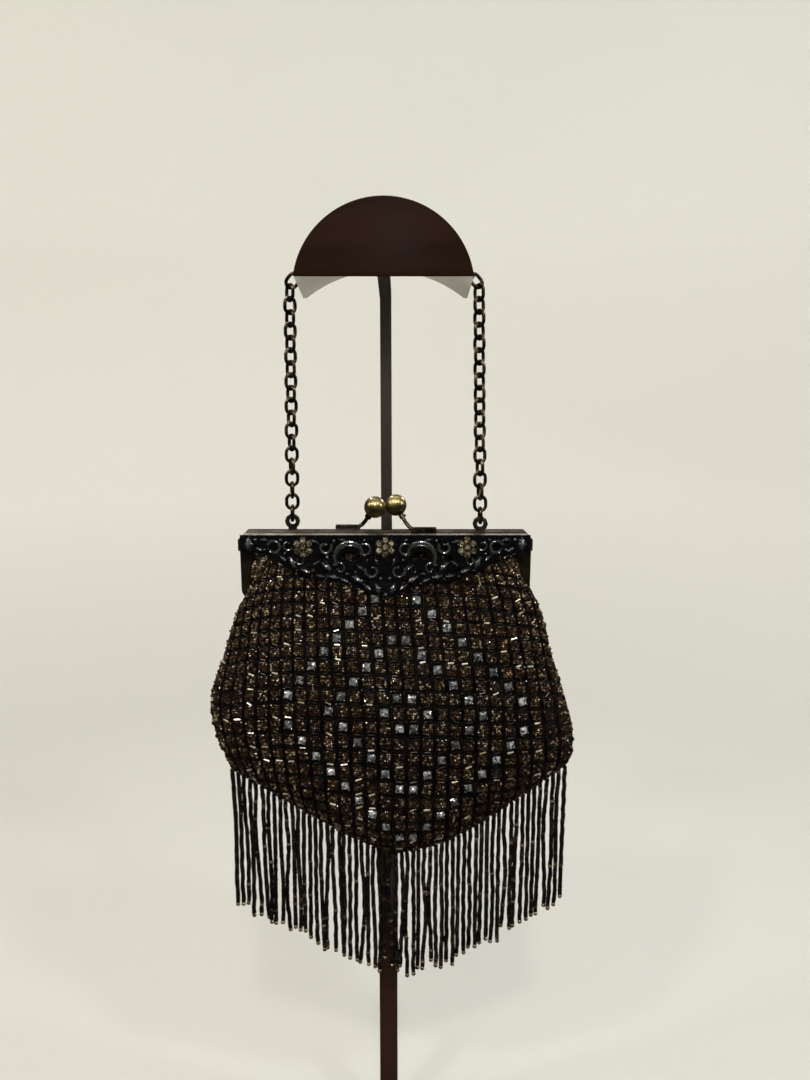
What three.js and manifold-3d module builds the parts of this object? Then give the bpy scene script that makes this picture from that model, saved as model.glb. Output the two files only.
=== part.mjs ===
import * as THREE from 'three';
import { mergeVertices } from 'three/addons/utils/BufferGeometryUtils.js';
import Module from 'manifold-3d';

const wasm = await Module();
wasm.setup();

// A beaded evening purse with a kiss-lock frame, hung by its chain on a bent-bar stand.
// Millimetres, +Z up. The front looks along -Y. The origin is under the middle of the base.

// Driving dimensions

const gap = 0.3;
// how far fused shapes run into each other
const overlap = 1;
const mergeTolerance = 1e-4;

const stand = {
  baseWidth: 150,
  baseDepth: 140,
  baseThick: 4,
  baseCorner: 8,
  postY: 45,
  tubeWidth: 11,
  tubeTop: 300,
  socketDepth: 60,
  barWidth: 6,
  bendCut: 2,
  cornerSegments: 2,
};

const saddle = {
  chordZ: 525,
  halfChord: 43.2,
  plateRise: 37.8,
  sheetRise: 16.4,
  sheetLength: 40,
  thick: 2,
  tilt: THREE.MathUtils.degToRad(9.7),
  arcSteps: 12,
};

const purse = {
  middleY: 20,
  railTopZ: 398,
};

const frame = {
  halfWidth: 77,
  cornerCut: 3.6,
  railHeight: 9.5,
  railDepth: 7.4,
  armWidth: 9.5,
  armDepth: 2.4,
  armDrop: 36.5,
  armSegments: 4,
};

const ear = {
  x: 49.7,
  y: 4,
  holeZ: 4.3,
  outer: 4,
  hole: 1.75,
  thick: 1.8,
  footWidth: 4.4,
  footHeight: 2.4,
  sides: 10,
};

const rivet = {
  x: 72.2,
  z: -32.6,
  shaft: 1.4,
  head: 2.5,
  headThick: 0.9,
  // the head's flat top as a share of its radius
  headTop: 0.7,
  sides: 6,
};

const chain = {
  links: 55,
  wire: 1.8,
  halfWidth: 3.0,
  bite: 0.25,
  earPlay: 0.4,
  liftOverSheet: 4.25,
  // share of the length, each way from the middle, that lies on the saddle
  overSaddle: 0.16,
  twist: THREE.MathUtils.degToRad(45),
  linkSides: 10,
  wireSides: 5,
  // a five-sided wire with the same section as the round one
  wirePolygon: 1.12,
};

const clasp = {
  ballRadius: 5.85,
  footOuterX: 26.7,
  footInnerX: 13.6,
  footWidth: 3.6,
  footThick: 1.9,
  neck: 1.15,
  collar: 1.9,
  collarLength: 1.6,
  collarSetback: 0.35,
  // the rod leaves the foot, then bends up and in towards the ball
  rootInset: 3,
  liftInset: 0.4,
  lift: 0.2,
  bendReach: 2.2,
  bendRise: 2.6,
  bendLean: 0.75,
  rodSides: 5,
  rodSteps: 5,
  collarSides: 7,
  ballSegments: 12,
  ballRings: 7,
  left: { side: -1, footY: 4, ball: new THREE.Vector3(-5.4, -2.5, 12.8) },
  right: { side: 1, footY: -4, ball: new THREE.Vector3(5.4, 3.5, 13.0) },
};

const ornament = {
  topZ: -1.0,
  thick: 1.4,
  tilt: THREE.MathUtils.degToRad(5),
  sink: 0.3,
  gapSides: 6,
};

const flower = {
  spacing: 42.6,
  z: -7.2,
  petalReach: 5.7,
  petalNotch: 4.9,
  petals: 6,
  settingThick: 1.2,
  ringRadius: 3.65,
  ringStone: 1.6,
  middleStone: 1.6,
  crown: 1.1,
  table: 0.55,
  facets: 8,
};

const bag = {
  wall: 1.5,
  mouthZ: -9.9,
  seamTopZ: -38,
  shoulder: 6,
  rim: 0.15,
  // the cloth stands clear of the hinge, and closes to the side seam below it
  hingeClear: 6,
  hingeHighZ: -37,
  hingeLowZ: -52,
  // a level section at or below this squareness is a plain ellipse
  roundSquare: 2.5,
  squareStep: 6.75,
  columns: 14,
  rows: 9,
};

const fringe = {
  strips: 38,
  stripRadius: 2.0,
  stripSides: 3,
  headingHeight: 3,
  headingDepth: 4.4,
  length: 80,
  unevenness: 2.4,
  unevenStep: 2.4,
  endInset: 2,
};

// How the two panels hang: fall runs from the mouth at 0 to the lower seam at 1.
// Widths are from the middle to each side seam, depths from the seam plane outwards,
// and square says how boxy the level section is.
const bagSections = [
  { fall: 0.00, left: 66.0, right: 66.0, front: 6.0, back: 6.0, square: 16.0 },
  { fall: 0.10, left: 72.0, right: 76.2, front: 9.8, back: 9.2, square: 13.0 },
  { fall: 0.20, left: 78.8, right: 82.6, front: 13.0, back: 10.6, square: 7.0 },
  { fall: 0.40, left: 86.8, right: 88.8, front: 21.5, back: 14.5, square: 3.2 },
  { fall: 0.62, left: 95.3, right: 97.0, front: 25.5, back: 17.2, square: 2.6 },
  { fall: 0.80, left: 93.5, right: 102.4, front: 21.5, back: 16.0, square: 2.5 },
  { fall: 0.93, left: 88.9, right: 102.3, front: 10.5, back: 8.5, square: 2.5 },
  { fall: 1.00, left: 86.2, right: 99.5, front: 0.15, back: 0.15, square: 2.5 },
];

// The pointed lower seam: across runs from the left side seam at -1 to the right one at 1.
const hemRows = [
  { across: -1.00, z: -135.5 },
  { across: -0.57, z: -159.5 },
  { across: -0.25, z: -176.5 },
  { across: 0.03, z: -186.5 },
  { across: 0.20, z: -184.5 },
  { across: 0.42, z: -175.5 },
  { across: 1.00, z: -134.0 },
];

// Shallow upright folds where the gathered cloth sinks between the ribs.
const foldRows = [
  { across: -0.56, width: 0.13, dip: 1.8 },
  { across: -0.12, width: 0.12, dip: 1.3 },
  { across: 0.38, width: 0.13, dip: 1.7 },
];

// The rail's section, from its inner lower corner over the top:
// share of the depth from the inner face, share of the height below the top.
const railSection = [
  { depth: 0.00, drop: 1.00 },
  { depth: 0.00, drop: 0.17 },
  { depth: 0.13, drop: 0.04 },
  { depth: 0.50, drop: 0.00 },
  { depth: 0.78, drop: 0.05 },
  { depth: 1.00, drop: 0.22 },
  { depth: 1.00, drop: 1.00 },
];

// Lower edge of the ornament plate, right half, from its outer end to the middle.
const ornamentEdge = [
  { x: 75.5, z: -9.0 },
  { x: 66.5, z: -9.0 },
  { x: 57.5, z: -12.0 },
  { x: 52.5, z: -17.0 },
  { x: 44.0, z: -20.5 },
  { x: 35.0, z: -23.5 },
  { x: 26.0, z: -24.5 },
  { x: 17.0, z: -26.5 },
  { x: 8.0, z: -30.5 },
  { x: 0.0, z: -33.5 },
];

// Gaps pierced through the plate, right half.
const ornamentGaps = [
  { x: 66.0, z: -5.8, halfLength: 2.2, halfWidth: 1.2, turn: 0.2 },
  { x: 51.2, z: -6.0, halfLength: 2.6, halfWidth: 1.6, turn: 0.9 },
  { x: 33.4, z: -11.6, halfLength: 2.4, halfWidth: 1.4, turn: -0.5 },
  { x: 18.2, z: -11.2, halfLength: 5.2, halfWidth: 2.8, turn: 0.1 },
  { x: 37.6, z: -18.2, halfLength: 2.8, halfWidth: 1.4, turn: 0.4 },
  { x: 20.4, z: -19.6, halfLength: 3.0, halfWidth: 1.5, turn: 0.2 },
  { x: 10.4, z: -23.6, halfLength: 3.0, halfWidth: 1.4, turn: 0.6 },
];

// Raised leaves on the plate, right half.
const leafRows = [
  { x: 71.0, z: -5.0, length: 7.5, width: 6.0, turn: 1.57 },
  { x: 48.2, z: -14.2, length: 9.0, width: 4.4, turn: 1.1 },
  { x: 41.8, z: -18.6, length: 7.0, width: 3.6, turn: 0.4 },
  { x: 30.6, z: -16.4, length: 8.4, width: 4.2, turn: 0.7 },
  { x: 27.2, z: -21.8, length: 7.6, width: 3.6, turn: 0.15 },
  { x: 14.6, z: -23.0, length: 8.4, width: 4.0, turn: 0.5 },
  { x: 4.0, z: -28.0, length: 8.0, width: 4.2, turn: 1.15 },
];

// Raised scrolls on the plate, right half: spirals from the outer to the inner radius.
const scrollRows = [
  { x: 57.7, z: -6.1, outer: 3.8, inner: 2.4, start: 0.3, sweep: 5.6 },
  { x: 31.2, z: -6.2, outer: 3.8, inner: 1.6, start: 2.6, sweep: 5.2 },
  { x: 18.3, z: -11.4, outer: 8.2, inner: 7.0, start: -0.55, sweep: 3.6 },
  { x: 6.6, z: -18.4, outer: 4.2, inner: 1.8, start: 0.4, sweep: -5.0 },
];

const scroll = { width: 1.5, height: 1.5, taper: 0.35, steps: 6 };
const leaf = { height: 1.6, sides: 6 };

// Finishes

const finishes = {
  standPaint: new THREE.MeshStandardMaterial({ color: 0x33231c, roughness: 0.45, metalness: 0.3 }),
  agedBronze: new THREE.MeshStandardMaterial({ color: 0x4a3d2c, roughness: 0.35, metalness: 0.9 }),
  agedBrass: new THREE.MeshStandardMaterial({ color: 0x8a7440, roughness: 0.28, metalness: 1.0 }),
  gunmetal: new THREE.MeshStandardMaterial({ color: 0x17171a, roughness: 0.32, metalness: 0.9 }),
  crystal: new THREE.MeshStandardMaterial({ color: 0xd9dbe0, roughness: 0.08, metalness: 0.2 }),
  beadedCloth: new THREE.MeshStandardMaterial({ color: 0x2e2119, roughness: 0.5, metalness: 0.2 }),
  fringeBeads: new THREE.MeshStandardMaterial({ color: 0x1c1512, roughness: 0.35, metalness: 0.2 }),
};

// Shared tools

function solidOf(geometry) {
  const bare = geometry.clone();
  bare.deleteAttribute('normal');
  bare.deleteAttribute('uv');
  const merged = mergeVertices(bare, mergeTolerance);
  return new wasm.Manifold(new wasm.Mesh({
    numProp: 3,
    vertProperties: new Float32Array(merged.attributes.position.array),
    triVerts: new Uint32Array(merged.index.array),
  }));
}

function geometryOf(solid) {
  const mesh = solid.getMesh();
  const geometry = new THREE.BufferGeometry();
  geometry.setAttribute('position', new THREE.BufferAttribute(mesh.vertProperties, 3));
  geometry.setIndex(new THREE.BufferAttribute(mesh.triVerts, 1));
  return geometry;
}

function joined(geometries) {
  const whole = geometries.map(solidOf).reduce((sum, piece) => sum.add(piece));
  return geometryOf(whole);
}

function addPart(group, name, geometry, finish) {
  const mesh = new THREE.Mesh(geometry, finish);
  mesh.name = name;
  group.add(mesh);
  return mesh;
}

// An outline in X and Z, with its rear face at backY and its front face thick nearer the viewer.
function upright(shape, backY, thick, curveSegments = 8) {
  const options = { depth: thick, bevelEnabled: false, curveSegments };
  const plate = new THREE.ExtrudeGeometry(shape, options);
  return plate.rotateX(Math.PI / 2).translate(0, backY, 0);
}

// An outline in Y and Z, drawn out along X on both sides of the middle.
function sideways(shape, width) {
  const bar = new THREE.ExtrudeGeometry(shape, { depth: width, bevelEnabled: false });
  return bar.rotateX(Math.PI / 2).rotateZ(Math.PI / 2).translate(-width / 2, 0, 0);
}

function polygon(points) {
  return new THREE.Shape(points.map(([x, y]) => new THREE.Vector2(x, y)));
}

function box(width, depth, height, x, y, z) {
  return new THREE.BoxGeometry(width, depth, height).translate(x, y, z);
}

function circlePath(x, y, radius, sides) {
  const corners = [];
  for (let i = 0; i < sides; i += 1) {
    const angle = (2 * Math.PI * i) / sides;
    corners.push(new THREE.Vector2(x + radius * Math.cos(angle), y + radius * Math.sin(angle)));
  }
  return corners;
}

// Smooth reading of a table: cubic between rows, with each row's slope from its neighbours.
function readTable(rows, key, at, column) {
  const last = rows.length - 1;
  const slope = (i) => {
    const before = rows[Math.max(i - 1, 0)];
    const after = rows[Math.min(i + 1, last)];
    return (after[column] - before[column]) / (after[key] - before[key]);
  };
  let i = 0;
  while (i < last - 1 && at > rows[i + 1][key]) {
    i += 1;
  }
  const span = rows[i + 1][key] - rows[i][key];
  const t = (at - rows[i][key]) / span;
  const fromRow = (1 + 2 * t) * (1 - t) ** 2 * rows[i][column] + t * (1 - t) ** 2 * span * slope(i);
  const toRow = t * t * (3 - 2 * t) * rows[i + 1][column] - t * t * (1 - t) * span * slope(i + 1);
  return fromRow + toRow;
}

// Stand

function roundedPlate(width, depth, corner) {
  const w = width / 2;
  const d = depth / 2;
  const shape = new THREE.Shape();
  shape.moveTo(-w + corner, -d);
  shape.lineTo(w - corner, -d);
  shape.absarc(w - corner, -d + corner, corner, -Math.PI / 2, 0);
  shape.absarc(w - corner, d - corner, corner, 0, Math.PI / 2);
  shape.absarc(-w + corner, d - corner, corner, Math.PI / 2, Math.PI);
  shape.absarc(-w + corner, -d + corner, corner, Math.PI, 1.5 * Math.PI);
  return shape;
}

function standTube() {
  const foot = stand.baseThick + gap;
  const length = stand.tubeTop - foot;
  const socketWidth = stand.barWidth + 2 * gap;
  const outside = box(stand.tubeWidth, stand.tubeWidth, length, 0, stand.postY, foot + length / 2);
  const socketZ = stand.tubeTop - stand.socketDepth / 2;
  const socket = box(socketWidth, socketWidth, stand.socketDepth, 0, stand.postY, socketZ);
  socket.translate(0, 0, gap);
  return geometryOf(solidOf(outside).subtract(solidOf(socket)));
}

// The bar's side view: an arm that slopes down from the plate, then the upright post.
function standBar() {
  const half = stand.barWidth / 2;
  const slope = Math.tan(saddle.tilt);
  const armThick = stand.barWidth / Math.cos(saddle.tilt);
  const armStart = saddle.thick + gap;
  // a point of the tilted saddle, from its distance behind the plate's face and above the chord
  const tilted = (y, z) => [
    y * Math.cos(saddle.tilt) + z * Math.sin(saddle.tilt),
    saddle.chordZ - y * Math.sin(saddle.tilt) + z * Math.cos(saddle.tilt),
  ];
  const undersideAt = (y) => saddle.chordZ - slope * y;
  const rearY = stand.postY + half;
  const frontY = stand.postY - half;
  const lowZ = stand.tubeTop - stand.socketDepth + 2 * gap;
  const side = polygon([
    tilted(armStart, 0),
    [frontY, undersideAt(frontY)],
    [frontY, lowZ],
    [rearY, lowZ],
    [rearY, undersideAt(rearY) + armThick - stand.bendCut],
    [rearY - stand.bendCut, undersideAt(rearY - stand.bendCut) + armThick],
    tilted(armStart, stand.barWidth),
  ]);
  return sideways(side, stand.barWidth);
}

// Radius of an arc from its half chord and its rise.
function arcRadius(halfChord, rise) {
  return (halfChord * halfChord + rise * rise) / (2 * rise);
}

function arcPoints(halfChord, rise, steps) {
  const radius = arcRadius(halfChord, rise);
  const halfAngle = Math.atan2(halfChord, radius - rise);
  const points = [];
  for (let i = 0; i <= steps; i += 1) {
    const angle = -halfAngle + (2 * halfAngle * i) / steps;
    points.push([radius * Math.sin(angle), radius * Math.cos(angle) - (radius - rise)]);
  }
  return points;
}

function saddleGeometry() {
  const { halfChord, plateRise, sheetRise, thick, arcSteps } = saddle;
  const plate = upright(polygon(arcPoints(halfChord, plateRise, arcSteps)), thick, thick);
  const over = arcPoints(halfChord, sheetRise, arcSteps);
  const under = arcPoints(halfChord - thick, sheetRise - thick, arcSteps).reverse();
  const sheet = upright(polygon([...over, ...under]), saddle.sheetLength, saddle.sheetLength - thick / 2);
  const whole = joined([plate, sheet]);
  whole.rotateX(-saddle.tilt);
  return whole.translate(0, 0, saddle.chordZ);
}

// Chain

function linkGeometry(length) {
  const wire = (chain.wire / 2) * chain.wirePolygon;
  const straight = length - chain.wire - 2 * chain.halfWidth * Math.cos(Math.PI / chain.linkSides);
  const ring = new THREE.TorusGeometry(chain.halfWidth, wire, chain.wireSides, chain.linkSides);
  const place = ring.attributes.position;
  for (let i = 0; i < place.count; i += 1) {
    const y = place.getY(i);
    if (Math.abs(y) > wire / 2) {
      place.setY(i, y + (Math.sign(y) * straight) / 2);
    }
  }
  return ring;
}

// The chain's way in X and Z: up from the left ear, over the sheet, down to the right ear.
function chainRoute() {
  const lift = chain.liftOverSheet;
  const radius = arcRadius(saddle.halfChord, saddle.sheetRise);
  const dropAtMiddle = Math.tan(saddle.tilt) * purse.middleY;
  const centreZ = saddle.chordZ - dropAtMiddle - purse.railTopZ - (radius - saddle.sheetRise);
  const halfAngle = Math.asin(saddle.halfChord / radius);
  const edge = new THREE.Vector2(saddle.halfChord, centreZ + radius * Math.cos(halfAngle));
  const start = new THREE.Vector2(ear.x, ear.holeZ + ear.hole - chain.wire / 2 - chain.earPlay);
  const toEar = start.clone().sub(edge);
  const turn = toEar.angle() - 2 * Math.PI + Math.acos(lift / toEar.length());
  const route = new THREE.Path();
  route.moveTo(-start.x, start.y);
  route.lineTo(-edge.x - lift * Math.cos(turn), edge.y + lift * Math.sin(turn));
  route.absarc(-edge.x, edge.y, lift, Math.PI - turn, Math.PI / 2 + halfAngle, true);
  route.absarc(0, centreZ, radius + lift, Math.PI / 2 + halfAngle, Math.PI / 2 - halfAngle, true);
  route.absarc(edge.x, edge.y, lift, Math.PI / 2 - halfAngle, turn, true);
  route.lineTo(start.x, start.y);
  return route;
}

// Depth along the chain: the ears sit on different halves of the frame,
// so the legs lean back to the left ear and forward to the right one.
function chainDepth(along) {
  const fromMiddle = 0.5 - along;
  const lean = Math.max(0, Math.abs(fromMiddle) - chain.overSaddle) / (0.5 - chain.overSaddle);
  return Math.sign(fromMiddle) * ear.y * lean;
}

function chainGeometry() {
  const route = chainRoute();
  const total = route.getLength();
  const pitch = (total - chain.wire + chain.bite) / chain.links;
  const length = pitch + 2 * chain.wire - chain.bite;
  const firstCentre = (length - chain.wire) / 2;
  const depthAxis = new THREE.Vector3(0, 1, 0);
  const spot = (along) => {
    const level = route.getPointAt(along);
    return new THREE.Vector3(level.x, chainDepth(along), level.y);
  };
  const links = [];
  for (let i = 0; i < chain.links; i += 1) {
    const along = (firstCentre + i * pitch) / total;
    const reach = pitch / 2 / total;
    const tangent = spot(along + reach).sub(spot(along - reach)).normalize();
    const normal = tangent.clone().cross(depthAxis).normalize();
    const level = normal.clone().cross(tangent);
    const angle = (i % 2) * (Math.PI / 2) + chain.twist * Math.sin(2 * Math.PI * along);
    const width = level.multiplyScalar(Math.cos(angle)).addScaledVector(normal, Math.sin(angle));
    const pose = new THREE.Matrix4().makeBasis(width, tangent, width.clone().cross(tangent));
    pose.setPosition(spot(along));
    links.push(linkGeometry(length).applyMatrix4(pose));
  }
  return joined(links);
}

// Frame

// side is -1 for the front half and 1 for the back half
function frameHalf(side, earX) {
  const { halfWidth, cornerCut, railHeight, railDepth, armWidth, armDepth, armDrop, armSegments } = frame;
  const face = polygon([
    [-halfWidth, -railHeight],
    [halfWidth, -railHeight],
    [halfWidth, -cornerCut],
    [halfWidth - cornerCut, 0],
    [-halfWidth + cornerCut, 0],
    [-halfWidth, -cornerCut],
  ]);
  const inner = side * gap;
  const outer = side * (gap + railDepth);
  const toSection = ({ depth, drop }) => [inner + side * depth * railDepth, -drop * railHeight];
  const section = polygon(railSection.map(toSection));
  const slab = upright(face, Math.max(inner, outer) + overlap, railDepth + 2 * overlap);
  const rail = solidOf(sideways(section, 2 * halfWidth)).intersect(solidOf(slab));
  const armBack = side < 0 ? inner : inner + armDepth;
  let half = rail;
  for (const end of [-1, 1]) {
    const arm = new THREE.Shape();
    const middle = end * (halfWidth - armWidth / 2);
    const round = armWidth / 2;
    arm.moveTo(middle - round, -railHeight + overlap);
    arm.lineTo(middle - round, -armDrop + round);
    arm.absarc(middle, -armDrop + round, round, Math.PI, 2 * Math.PI);
    arm.lineTo(middle + round, -railHeight + overlap);
    const hole = circlePath(end * rivet.x, rivet.z, rivet.shaft + gap, rivet.sides);
    arm.holes.push(new THREE.Path(hole));
    half = half.add(solidOf(upright(arm, armBack, armDepth, armSegments)));
  }
  const ring = new THREE.Shape(circlePath(earX, ear.holeZ, ear.outer, ear.sides));
  ring.holes.push(new THREE.Path(circlePath(earX, ear.holeZ, ear.hole, ear.sides)));
  const earBack = side * ear.y + ear.thick / 2;
  const foot = box(ear.footWidth, ear.thick, ear.footHeight, earX, side * ear.y, 0);
  half = half.add(solidOf(upright(ring, earBack, ear.thick)));
  half = half.add(solidOf(foot.translate(0, 0, ear.footHeight / 4)));
  return geometryOf(half);
}

function rivetGeometry() {
  const reach = gap + frame.armDepth + gap;
  const { shaft, head, headThick, headTop } = rivet;
  const profile = [
    [0, -reach - headThick],
    [head * headTop, -reach - headThick],
    [head, -reach],
    [shaft, -reach],
    [shaft, reach],
    [head, reach],
    [head * headTop, reach + headThick],
    [0, reach + headThick],
  ].map(([radius, y]) => new THREE.Vector2(radius, y));
  return new THREE.LatheGeometry(profile, rivet.sides);
}

// Kiss lock

function claspArm(half) {
  const { footOuterX, footInnerX, footWidth, footThick, neck, ballRadius } = clasp;
  const { collar, collarLength, collarSetback, collarSides } = clasp;
  const { rootInset, liftInset, lift, bendReach, bendRise, bendLean, rodSides, rodSteps } = clasp;
  const { side, footY, ball } = half;
  const footLength = footOuterX - footInnerX;
  const footZ = gap + footThick / 2;
  const foot = box(footLength, footWidth, footThick, side * (footOuterX + footInnerX) / 2, footY, footZ);
  const bend = new THREE.Vector3(side * (footInnerX - bendReach), footY * bendLean, footZ + bendRise);
  const toArm = bend.clone().sub(ball).setLength(ballRadius + gap);
  const tip = ball.clone().add(toArm);
  const rise = new THREE.CatmullRomCurve3([
    new THREE.Vector3(side * (footInnerX + rootInset), footY, footZ),
    new THREE.Vector3(side * (footInnerX + liftInset), footY, footZ + lift),
    bend,
    tip,
  ]);
  const section = new THREE.Shape(circlePath(0, 0, neck, rodSides));
  const along = { steps: rodSteps, extrudePath: rise, bevelEnabled: false };
  const rod = new THREE.ExtrudeGeometry(section, along);
  const ring = new THREE.CylinderGeometry(collar, collar, collarLength, collarSides);
  const seatReach = ballRadius + gap + collarLength / 2 + collarSetback;
  const seat = ball.clone().addScaledVector(toArm, seatReach / toArm.length());
  const up = new THREE.Vector3(0, 1, 0);
  ring.applyQuaternion(new THREE.Quaternion().setFromUnitVectors(up, toArm.clone().normalize()));
  ring.translate(seat.x, seat.y, seat.z);
  return joined([foot, rod, ring]);
}

// Ornament

function gapPath({ x, z, halfLength, halfWidth, turn }, mirror) {
  const corners = circlePath(0, 0, 1, ornament.gapSides).map((corner) => {
    const along = corner.x * halfLength;
    const over = corner.y * halfWidth;
    const px = x + along * Math.cos(turn) - over * Math.sin(turn);
    return new THREE.Vector2(mirror * px, z + along * Math.sin(turn) + over * Math.cos(turn));
  });
  return new THREE.Path(corners);
}

// A pointed leaf that rises to its middle, with its back sunk a little into the plate.
function leafGeometry({ x, z, length, width, turn }, mirror) {
  const tall = leaf.height + ornament.sink;
  const blade = new THREE.ConeGeometry(1, tall, leaf.sides, 1, false, Math.PI / 2);
  blade.scale(length / 2, 1, width / 2);
  blade.rotateX(Math.PI);
  blade.rotateY(-mirror * turn);
  return blade.translate(mirror * x, ornament.sink - ornament.thick - tall / 2, z);
}

function scrollGeometry({ x, z, outer, inner, start, sweep }, mirror) {
  const left = [];
  const right = [];
  for (let i = 0; i <= scroll.steps; i += 1) {
    const t = i / scroll.steps;
    const angle = start + sweep * t;
    const radius = outer + (inner - outer) * t;
    const half = (scroll.width / 2) * (1 - scroll.taper * t);
    const spot = (reach) => [mirror * (x + reach * Math.cos(angle)), z + reach * Math.sin(angle)];
    left.push(spot(radius + half));
    right.unshift(spot(radius - half));
  }
  const tall = scroll.height + ornament.sink;
  return upright(polygon([...left, ...right]), -ornament.thick + ornament.sink, tall);
}

function ornamentGeometry() {
  const left = ornamentEdge.map(({ x, z }) => [-x, z]);
  const right = ornamentEdge.slice(0, -1).reverse().map(({ x, z }) => [x, z]);
  const end = ornamentEdge[0].x;
  const outline = polygon([[end, 0], [-end, 0], ...left, ...right]);
  for (const mirror of [1, -1]) {
    for (const row of ornamentGaps) {
      outline.holes.push(gapPath(row, mirror));
    }
  }
  const pieces = [upright(outline, 0, ornament.thick)];
  for (const mirror of [1, -1]) {
    pieces.push(...leafRows.map((row) => leafGeometry(row, mirror)));
    pieces.push(...scrollRows.map((row) => scrollGeometry(row, mirror)));
  }
  return joined(pieces);
}

function stoneGeometry(radius, x, z, backY) {
  const { crown, table, facets } = flower;
  const stone = new THREE.CylinderGeometry(radius * table, radius, crown + ornament.sink, facets);
  stone.rotateX(Math.PI / 2);
  return stone.translate(x, backY - (crown - ornament.sink) / 2, z);
}

function flowerGeometry() {
  const { petalReach, petalNotch, petals, settingThick, ringRadius, ringStone, middleStone } = flower;
  const outline = [];
  for (let i = 0; i < 2 * petals; i += 1) {
    const angle = (Math.PI * i) / petals;
    const reach = i % 2 === 0 ? petalReach : petalNotch;
    outline.push([reach * Math.sin(angle), reach * Math.cos(angle)]);
  }
  const pieces = [upright(polygon(outline), 0, settingThick)];
  pieces.push(stoneGeometry(middleStone, 0, 0, -settingThick));
  for (let i = 0; i < petals; i += 1) {
    const angle = (2 * Math.PI * i) / petals;
    const x = ringRadius * Math.sin(angle);
    const z = ringRadius * Math.cos(angle);
    pieces.push(stoneGeometry(ringStone, x, z, -settingThick));
  }
  return joined(pieces);
}

// Bag

// A point of one panel's outer face, with its depth from the seam plane as y.
function bagPoint(column, across, fall) {
  const half = readTable(bagSections, 'fall', fall, across < 0 ? 'left' : 'right');
  const square = readTable(bagSections, 'fall', fall, 'square');
  const edge = Math.abs(across);
  const level = 2 + (square - bag.roundSquare) / bag.squareStep;
  const crown = Math.max(0, 1 - edge ** square) ** (1 / level);
  const arch = Math.max(0, 1 - edge ** bag.shoulder) ** (1 / bag.shoulder);
  const topZ = bag.seamTopZ + (bag.mouthZ - bag.seamTopZ) * arch;
  const hemZ = readTable(hemRows, 'across', across, 'z');
  let depth = readTable(bagSections, 'fall', fall, column) * crown;
  for (const fold of foldRows) {
    const away = (across - fold.across) / fold.width;
    depth -= fold.dip * Math.exp(-away * away) * Math.sin(Math.PI * fall);
  }
  const z = topZ + (hemZ - topZ) * fall;
  const aboveSeam = (z - bag.hingeLowZ) / (bag.hingeHighZ - bag.hingeLowZ);
  const seamDepth = bag.rim + bag.hingeClear * THREE.MathUtils.clamp(aboveSeam, 0, 1);
  return new THREE.Vector3(half * across, Math.max(depth, seamDepth), z);
}

// Columns stand closer together towards the side seams.
function columnAcross(column) {
  return Math.sin((Math.PI / 2) * ((2 * column) / bag.columns - 1));
}

// The inner face lies a wall's thickness behind the outer one, square to it, and stops at the seam plane.
function innerFace(outer, faces) {
  const sheet = new THREE.BufferGeometry().setFromPoints(outer);
  sheet.setIndex(faces.flat());
  sheet.computeVertexNormals();
  const normals = sheet.attributes.normal;
  return outer.map((point, i) => {
    const normal = new THREE.Vector3().fromBufferAttribute(normals, i);
    const inner = point.clone().addScaledVector(normal, -bag.wall);
    inner.y = Math.max(inner.y, bag.rim);
    return inner;
  });
}

// side is -1 for the front panel and 1 for the back one
function bagPanel(side) {
  const column = side < 0 ? 'front' : 'back';
  const { columns, rows } = bag;
  const outer = [];
  for (let r = 0; r <= rows; r += 1) {
    for (let c = 0; c <= columns; c += 1) {
      outer.push(bagPoint(column, columnAcross(c), r / rows));
    }
  }
  const at = (r, c) => r * (columns + 1) + c;
  const outerFaces = [];
  // split from a to c, the other way in the right half, so that the shoulders mirror each other
  const patch = (a, b, c, d) => outerFaces.push([a, b, c], [a, c, d]);
  for (let r = 0; r < rows; r += 1) {
    for (let c = 0; c < columns; c += 1) {
      if (c < columns / 2) {
        patch(at(r, c), at(r, c + 1), at(r + 1, c + 1), at(r + 1, c));
      } else {
        patch(at(r, c + 1), at(r + 1, c + 1), at(r + 1, c), at(r, c));
      }
    }
  }
  const behind = outer.length;
  const faces = [...outerFaces, ...outerFaces.map(([a, b, c]) => [a + behind, c + behind, b + behind])];
  const edge = (a, b) => faces.push([a, b, b + behind], [a, b + behind, a + behind]);
  for (let r = 0; r < rows; r += 1) {
    edge(at(r, 0), at(r + 1, 0));
    edge(at(r + 1, columns), at(r, columns));
  }
  for (let c = 0; c < columns; c += 1) {
    edge(at(0, c + 1), at(0, c));
    edge(at(rows, c), at(rows, c + 1));
  }
  const points = [...outer, ...innerFace(outer, outerFaces)];
  const ordered = side > 0 ? faces : faces.map(([a, b, c]) => [a, c, b]);
  const geometry = new THREE.BufferGeometry().setFromPoints(points);
  geometry.setIndex(ordered.flat());
  return geometry.scale(1, side, 1);
}

// Fringe

// Height of a run of straight stretches at x.
function heightOn(line, x) {
  const next = Math.max(1, line.findIndex(([px]) => px >= x));
  const [x0, z0] = line[next - 1];
  const [x1, z1] = line[next];
  return z0 + ((z1 - z0) * (x - x0)) / (x1 - x0);
}

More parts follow.
